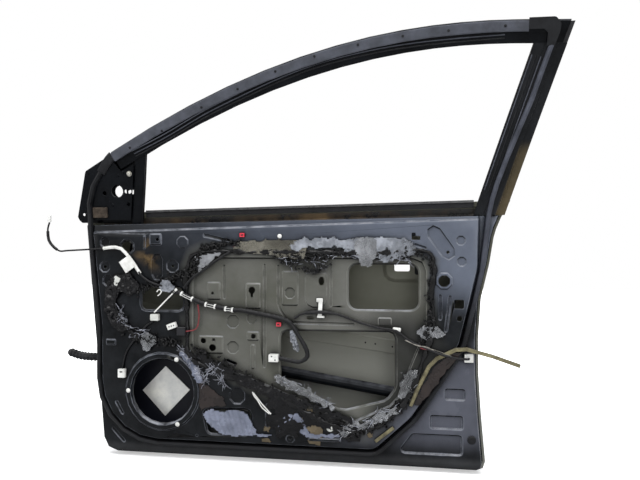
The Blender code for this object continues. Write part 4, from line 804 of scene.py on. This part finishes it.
# finish, outline in mm
pools = {
    "waxPool1": ("wax_pool", ((579, -347), (611, -355), (623, -364), (624, -413), (617, -436), (588, -438),
        (582, -426), (598, -414), (577, -396), (569, -378))),
    "waxPool2": ("wax_pool", ((516, -335), (532, -328), (524, -368), (513, -377))),
    "waxPool3": ("wax_pool", ((545, -334), (566, -330), (566, -355), (547, -358))),
    "waxPool4": ("wax_pool", ((520, -388), (543, -383), (551, -401), (524, -404))),
    "waxPool5": ("wax_pool", ((474, -395), (491, -396), (489, -410), (474, -409))),
    "waxPool6": ("wax_pool", ((729, -404), (744, -400), (748, -411), (735, -415))),
    "waxPool7": ("wax_pool", ((469, -426), (490, -426), (495, -435), (469, -437))),
    "rearWedge": ("brown_gloss", ((930, -203), (958, -200), (918, -250), (884, -297), (853, -332), (843, -328),
        (864, -282), (890, -234))),
    "blackLowerLeft": ("brown_gloss", ((300, -290), (330, -300), (372, -330), (378, -352), (330, -356), (312, -366),
        (300, -330))),
}


def makeFilms():
    for name, (node, finish, level, loop, look) in films.items():
        own(filmSheet(name, metres(loop), level, look), "clear_film", finish, [node] if node else [])


def makePools():
    for number, (name, (finish, loop)) in enumerate(pools.items()):
        look = {"height": 0, "billow": 0, "cell": 0.0018, "seed": 30 + number}
        own(filmSheet(name, metres(loop), poolLevel, look), "butyl", finish)


makeFilms()
makePools()
print("films:", len(films) + len(pools))

# ---- smeared sealant round the recess
sealant = {
    "route": ((275, -219), (275, -100), (275, -4), (312, 35), (450, 36), (600, 36), (760, 35), (880, 34), (885, -60),
        (885, -155), (812, -336), (692, -397), (500, -319), (402, -284), (300, -243)),
    "level": -0.0418,
    "radius": 0.005,
    "faces": (-0.047, -0.0402),
}


def makeSealant():
    route = metres(sealant["route"] + sealant["route"][:1])
    line = evenLine([(x, sealant["level"], z) for x, z in route], 0.004)
    widths = [0.45 + 1.9 * abs(noise.noise(p * 42)) + 0.5 * abs(noise.noise(p * 160)) for p in line]
    bead = roundCurve("smearedSealant", line, sealant["radius"], resolution=2, widths=widths)
    low, high = sealant["faces"]
    for vertex in bead.data.vertices:
        push = noise.noise(vertex.co * 130) * 0.0022
        vertex.co.x += push + 0.003 * noise.noise(vertex.co * 40 + Vector((4, 0, 0)))
        vertex.co.z += 0.0022 * noise.noise(vertex.co * 120 + Vector((0, 9, 0)))
        inFront = vertex.co.y < sealant["level"]
        vertex.co.y = max(vertex.co.y, low) if inFront else min(vertex.co.y, high)
    smooth(60)
    own(bead, "butyl", replaced=["butyl_bead"])


makeSealant()

shredKinds = {
    "butyl": {"slot": "butyl", "step": (0.0006, 0.0020), "sway": 0.8, "points": 6},
    "loose_thread": {"slot": "clear_film", "step": (0.0012, 0.0034), "sway": 0.45, "points": 9},
}

shredLevel = -0.0440
# finish, radius, count, spread, route in mm
shreds = {
    "topButyl": ("butyl", 0.003, 140, 0.013, ((495, 36), (566, 21), (616, 26), (677, 34), (726, 30), (810, 37),
        (842, 27))),
    "topButylHanging": ("butyl", 0.003, 60, 0.008, ((522, 14), (566, -1), (590, -10), (640, 6))),
    "topThreads": ("loose_thread", 0.0009, 46, 0.01, ((520, 20), (600, 12), (700, 30), (780, 14), (845, 22))),
    "leftButyl": ("butyl", 0.003, 110, 0.008, ((283, -30), (300, 6), (314, 40), (348, 53), (413, 58))),
    "rearButyl": ("butyl", 0.003, 110, 0.007, ((843, 42), (871, 23), (886, -6), (880, -54), (883, -101), (870, -161),
        (858, -200))),
    "lowerButyl": ("butyl", 0.003, 120, 0.013, ((835, -300), (800, -345), (774, -368), (714, -399), (665, -397))),
    "diagonalButyl": ("butyl", 0.003, 150, 0.01, ((296, -205), (348, -232), (413, -262), (470, -295), (541, -325),
        (616, -350), (677, -384))),
    "frontButyl": ("butyl", 0.003, 120, 0.01, ((148, -62), (190, -45), (235, -30), (268, -24), (285, -18))),
    "frontLower": ("butyl", 0.003, 110, 0.012, ((113, -143), (130, -175), (150, -186), (205, -190), (250, -205))),
    "diagonalThreads": ("loose_thread", 0.0009, 36, 0.008, ((508, -276), (541, -289), (578, -302), (611, -321),
        (653, -344))),
    "speakerThreads": ("loose_thread", 0.0009, 60, 0.007, ((259, -212), (288, -238), (310, -275), (324, -292))),
    "ringThreads": ("loose_thread", 0.0009, 70, 0.006, ((325, -290), (330, -266), (348, -257), (367, -268),
        (366, -284), (372, -296))),
    "lowerThreads": ("loose_thread", 0.0009, 44, 0.01, ((668, -405), (694, -385), (726, -382), (762, -356),
        (808, -338))),
    "frontThreads": ("loose_thread", 0.001, 40, 0.006, ((92, -110), (104, -138), (120, -156), (143, -173),
        (160, -168))),
}


def addShred(data, line, spread, look, along):
    first = random.randrange(len(line) - 1)
    ahead = line[first + 1] - line[first]
    at = line[first] + Vector((random.gauss(0, 1), 0, random.gauss(0, 1))) * spread * 0.5
    turn = random.uniform(0, 2 * math.pi)
    if along:
        turn = math.atan2(ahead.z, ahead.x) + random.gauss(0, 0.5) + random.choice((0, math.pi))
    rise = random.uniform(-0.003, 0.0015)
    count = look["points"]
    spline = data.splines.new("POLY")
    spline.points.add(count - 1)
    for i, point in enumerate(spline.points):
        point.co = (at.x, min(-0.0425, at.y + rise * i / 3), at.z, 1)
        point.radius = random.uniform(0.6, 1.3) * (1 - 0.65 * i / (count - 1))
        turn += random.uniform(-look["sway"], look["sway"])
        at = at + Vector((math.cos(turn), 0, math.sin(turn))) * random.uniform(*look["step"])


def makeShreds():
    # torn strings of sealant and film; the pale film strings, laid along their route, also stand in for highlights on
    # folded film
    for name, (finish, radius, count, spread, route) in shreds.items():
        line = evenLine([(x, shredLevel, z) for x, z in metres(route)], 0.002)
        data = tubeData(name, radius, 1)
        for _ in range(count):
            addShred(data, line, spread, shredKinds[finish], finish == "loose_thread")
        own(tubeMesh(name, data), shredKinds[finish]["slot"], finish)


makeShreds()
print("sealant")


# ---- small pieces on the panel
def blockPiece(name, centre, size, turn, edge):
    bpy.ops.mesh.primitive_cube_add(size=1, location=centre, rotation=(0, turn, 0))
    return roundEdges(takeNew(name, size), edge)


def roundBlock(name, centre, radius, depth, edge, sides=24):
    bpy.ops.mesh.primitive_cylinder_add(vertices=sides, radius=radius, depth=depth, location=centre,
                                        rotation=(math.pi / 2, 0, 0))
    return roundEdges(takeNew(name), edge)


# centre and size in mm, turn, rounding of the edges in mm, slot
smallBlocks = {
    "redClipLower": ((511, -37.5, -143.5), (12, 7, 10), 0, 1.2, "red_plastic"),
    "labelTag": ((116.5, -50.3, 3), (29, 0.8, 34), -0.6, 0.2, "white_plastic"),
    "leadClip": ((802, -38.5, -150), (20, 9, 10), 0.1, 3, "white_plastic"),
    "strapHead": ((614, -38.5, -82), (16, 6, 10), 0, 2, "white_plastic"),
    "strapTail": ((615.5, -40, -103), (10, 1.6, 36), 0.06, 0.5, "white_plastic"),
    "strapFoot": ((617, -41, -122.5), (18, 4.5, 5), 0.03, 1, "white_plastic"),
    "foamLower": ((772.5, -43.2, -403), (56, 4, 7.8), -0.675, 1, "yellow_foam"),
    "greyClip": ((84, -43, -40), (18, 6, 24), 0.5, 2, "grey_plastic"),
    "speakerSlot": ((101, -50.3, -272), (7, 1, 3), 0, 0.2, "black_plastic"),
    "trunkSlot1": ((496, -50.8, -221.5), (3, 1, 3), 0, 0.2, "black_plastic"),
    "trunkSlot2": ((504.5, -50.8, -230), (3.4, 1, 3), 0, 0.2, "black_plastic"),
    "whiteSlot1": ((230.5, -51.3, -153.5), (3, 1, 3), -0.26, 0.2, "black_plastic"),
    "whiteSlot2": ((236.5, -51.3, -151.8), (3, 1, 3), -0.26, 0.2, "black_plastic"),
    "whiteSlot3": ((242.5, -51.3, -150), (3, 1, 3), -0.26, 0.2, "black_plastic"),
    "upperClipSlot": ((419, -46.3, 78), (6, 0.8, 3.4), 0, 0.2, "black_plastic"),
    "lowerClipSlot": ((511, -41.3, -143.5), (6, 0.8, 3.4), 0, 0.2, "black_plastic"),
}


def makeSmallBlocks():
    for name, (centre, size, turn, edge, slot) in smallBlocks.items():
        own(blockPiece(name, *metres((centre, size)), turn, edge / 1000), slot)


makeSmallBlocks()

tie = {"start": (0.250, -0.0535, -0.060), "end": (0.191, -0.0500, -0.118), "width": 0.0034, "teeth": 16}


def makeTie():
    start, end = Vector(tie["start"]), Vector(tie["end"])
    along = end - start
    turn = math.atan2(-along.z, along.x)
    strap = blockPiece("cableTie", (start + end) / 2, (along.length, 0.0012, tie["width"]), turn, 0.0003)
    parts = [strap]
    for k in range(tie["teeth"]):
        at = start.lerp(end, (k + 0.5) / tie["teeth"]) + Vector((0, -0.0008, 0))
        parts.append(blockPiece("tooth", at, (0.0014, 0.0008, tie["width"] * 0.8), turn, 0.0002))
    parts.append(blockPiece("tieHead", start + Vector((0, -0.0005, 0)), (0.007, 0.0045, 0.006), turn, 0.0008))
    only(strap)
    for part in parts:
        part.select_set(True)
    bpy.ops.object.join()
    own(strap, "white_plastic")


makeTie()

trunk = {
    "route": ((200, -12, -95), (222, -30, -82), (238, -46.5, -68), (256, -49, -67), (275, -49, -76), (300, -48, -87),
        (325, -45.5, -96), (387, -44.7, -108), (427, -44.7, -111), (517, -44.7, -128), (544, -44.7, -142),
        (563, -44.7, -170), (582, -44.7, -203), (583, -44.7, -222), (566, -44.7, -233), (544, -44.7, -231),
        (514, -43, -226)),
    "radius": 0.006,
    "taped": (2, 10),
}
bands = {"spans": ((0.262, 0.292), (0.324, 0.352), (0.374, 0.396)), "radius": 0.0064, "apart": 0.0026}


def makeBands():
    # loops of white tape on the trunk
    first, last = trunk["taped"]
    line = evenLine(metres(trunk["route"][first:last]), 0.002)
    for number, ends in enumerate(bands["spans"], 1):
        first, last = (min(range(len(line)), key=lambda i: abs(line[i].x - end)) for end in ends)
        for name, start, end in (("Left", first, first + 2), ("Right", last - 2, last)):
            own(roundCurve(f"tapeLoop{number}{name}", line[start:end + 1], bands["radius"], resolution=5),
                "white_plastic")
        for name, rise in (("Upper", bands["apart"]), ("Lower", -bands["apart"])):
            strip = [p + Vector((0, -0.0060, rise)) for p in line[first:last + 1]]
            own(roundCurve(f"tapeLoop{number}{name}", strip, 0.0007, resolution=3), "white_plastic")


makeBands()

strandLevel = -0.0490
# route in mm, radius, slot, finish
strands = {
    "bareWire1": (((822, -174), (845, -183), (876, -191), (904, -199), (941, -213)), 0.0007, "grey_plastic",
        "wire_grey"),
    "bareWire2": (((858, -191), (868, -194), (881, -196), (893, -199)), 0.0007, "red_wire", "red_wire"),
    "bareWire3": (((824, -173), (850, -186), (872, -188), (890, -197)), 0.0007, "grey_plastic", "wire_grey"),
    "frontLead": (((148, -16), (160, -29), (184, -43), (212, -51)), 0.0024, "harness_tape", "harness_tape"),
    "thinTie": (((447, -311), (452, -322), (460, -331), (472, -349), (490, -363)), 0.0014, "white_plastic",
        "white_plastic"),
    "trunkRing": (((197, -66), (203, -60), (209, -65), (205, -72), (199, -76)), 0.0014, "white_plastic",
        "white_plastic"),
}


def makeStrands():
    for name, (route, radius, slot, finish) in strands.items():
        line = evenLine([(x, strandLevel, z) for x, z in metres(route)], 0.003)
        own(roundCurve(name, line, radius, resolution=3), slot, finish)


makeStrands()


def makeTrunk():
    # taped harness, lumpy where the tape overlaps
    line = evenLine(metres(trunk["route"]), 0.003)
    widths = [0.86 + 0.22 * abs(noise.noise(Vector((i * 0.35, 0, 0)))) - (0.25 if i < 8 else 0)
              for i in range(len(line))]
    own(roundCurve("harnessTrunk", line, trunk["radius"], widths=widths), "harness_tape", replaced=["harness_trunk"])


makeTrunk()

nuts = {"places": ((0.2475, -0.2375), (0.1180, -0.3200), (0.2503, -0.4011)), "level": -0.0440,
        "size": (0.0060, 0.0040, 0.0060)}


def makeNutDomes():
    # white clip nuts of the loudspeaker
    for number, (x, z) in enumerate(nuts["places"], 1):
        bpy.ops.mesh.primitive_uv_sphere_add(segments=20, ring_count=12, radius=1, location=(x, nuts["level"], z))
        dome = takeNew(f"nutDome{number}", nuts["size"])
        bpy.ops.object.shade_smooth()
        own(dome, "white_plastic", replaced=[f"speaker_nut_{number}"])


makeNutDomes()

plugs = {"bodyPlug1": ((0.7200, 0.0334, -0.1940), 0.0050), "bodyPlug2": ((0.7450, 0.0332, -0.1970), 0.0050),
         "bodyPlug3": ((0.7880, 0.0326, -0.2030), 0.0048)}


def makePlugs():
    for name, (centre, radius) in plugs.items():
        own(roundBlock(name, centre, radius, 0.0014, 0.0003), "black_rubber")


makePlugs()

# ---- rubber on the window frame
bow = {
    "face": 0.036,
    "glass": 0.010,
    "middle": (0.45, -0.20),
    "curveX": 40,
    "curveZ": 4.4,
    "sashFoot": (0.998, 0.163),
    "sashLean": 0.3275,
    "sashNormal": (0.9504, 0.3112),
    "sashHeights": (0.185, 0.240, 0.300, 0.360, 0.420, 0.480),
}
dots = {
    "places": metres(((129, 300), (218, 339), (326, 392), (421, 431), (517, 467), (613, 496), (716, 516), (819, 529),
                      (921, 535), (1044, 538))),
    "radius": 0.0032,
    "depth": 0.0248,
}


def frameLevel(x, z, depth):
    # cabin side of the window frame at a depth from its outer face
    alongX, alongZ = x - bow["middle"][0], z - bow["middle"][1]
    outer = bow["face"] - alongZ ** 2 / bow["curveZ"] - alongX ** 2 / bow["curveX"]
    return outer - bow["glass"] - depth * math.hypot(1, alongZ / (bow["curveZ"] / 2))


def makeDots():
    # push pins that hold the header seal
    for number, (x, z) in enumerate(dots["places"], 1):
        centre = (x, frameLevel(x, z, dots["depth"]), z)
        own(roundBlock(f"sealPin{number}", centre, dots["radius"], 0.002, 0.0005, sides=16), "black_rubber")


def headerRoute(below):
    places = dots["places"]
    route = []
    for i, (x, z) in enumerate(places):
        x0, z0 = places[max(0, i - 1)]
        x1, z1 = places[min(len(places) - 1, i + 1)]
        size = math.hypot(x1 - x0, z1 - z0)
        route.append((x + (z1 - z0) / size * below, z - (x1 - x0) / size * below))
    return route


def sashRoute(across):
    x, foot = bow["sashFoot"]
    out, down = bow["sashNormal"]
    return [(x + bow["sashLean"] * (z - foot) + out * across, z - down * across) for z in bow["sashHeights"]]


# route, distance, depth, radius, slot
lips = {
    "headerLipUpper": (headerRoute, 0.0085, 0.0212, 0.0013, "dusty_rubber"),
    "headerLipMiddle": (headerRoute, 0.0150, 0.0160, 0.0014, "dusty_rubber"),
    "headerLipLower": (headerRoute, 0.0225, 0.0160, 0.0016, "black_rubber"),
    "sashLipInner": (sashRoute, 0.0030, 0.0160, 0.0014, "dusty_rubber"),
    "sashLipMiddle": (sashRoute, 0.0120, 0.0160, 0.0016, "black_rubber"),
    "sashLipOuter": (sashRoute, 0.0225, 0.0212, 0.0013, "dusty_rubber"),
}


def makeLips():
    # rubber edges beside the glass run
    for name, (route, distance, depth, radius, slot) in lips.items():
        line = evenLine([(x, frameLevel(x, z, depth), z) for x, z in route(distance)], 0.012)
        own(roundCurve(name, line, radius, resolution=3), slot)


makeDots()
makeLips()
print("small pieces")

# ---- studio
studio = {
    "floor": 6.0,
    "floorColour": (0.86, 0.86, 0.86),
    "lift": (0.45, 1.3, 0.7, 1.6),  # glow of the floor near and far, and from where to where
    "world": (0.40, 0.41, 0.43),
    "aim": (0.55, 0, 0),
    "lamps": (("overhead", (0.6, -1.5, 2.7), 2.2, 105), ("frontLeft", (-2.0, -2.6, 1.2), 1.8, 14),
              ("frontRight", (2.4, -2.8, 0.9), 1.6, 26), ("behind", (0.4, 2.6, 1.8), 2.2, 40)),
}


def makeFloor():
    bpy.ops.mesh.primitive_plane_add(size=2 * studio["floor"], location=(0.6, 0, cadBox[0].z - 0.0005))
    floor = bpy.context.active_object
    floor.name = "floor"
    material, tree, shader = startFinish("paleFloor")
    seen = put(tree, "LightPath")
    place = put(tree, "TexCoord")
    away = put(tree, "VectorMath", {0: place.outputs["Object"]}, operation="LENGTH")
    glow = times(tree, seen.outputs["Is Camera Ray"], span(tree, away.outputs["Value"], *studio["lift"]))
    feed(tree, shader, {"Base Color": studio["floorColour"], "Roughness": 0.9, "Emission Color": (1, 1, 1),
                        "Emission Strength": glow})
    floor.data.materials.append(material)


def makeWorld():
    # white where the camera sees it, grey as light
    world = bpy.data.worlds.new("studio")
    world.use_nodes = True
    tree = world.node_tree
    path = put(tree, "LightPath")
    seen = combine(tree, "MAXIMUM", path.outputs["Is Camera Ray"], path.outputs["Is Glossy Ray"])
    seen = combine(tree, "MAXIMUM", seen, path.outputs["Is Transmission Ray"])
    feed(tree, tree.nodes["Background"], {"Color": blend(tree, seen, studio["world"], (1, 1, 1))})
    scene.world = world


def makeLamps():
    for name, place, size, power in studio["lamps"]:
        data = bpy.data.lights.new(name, "AREA")
        data.shape = "SQUARE"
        data.size = size
        data.energy = power
        lamp = bpy.data.objects.new(name, data)
        lamp.location = place
        lamp.rotation_euler = (Vector(studio["aim"]) - Vector(place)).to_track_quat("-Z", "Y").to_euler()
        scene.collection.objects.link(lamp)


makeFloor()
makeWorld()
makeLamps()
scene.view_settings.view_transform = "Standard"
print("studio")
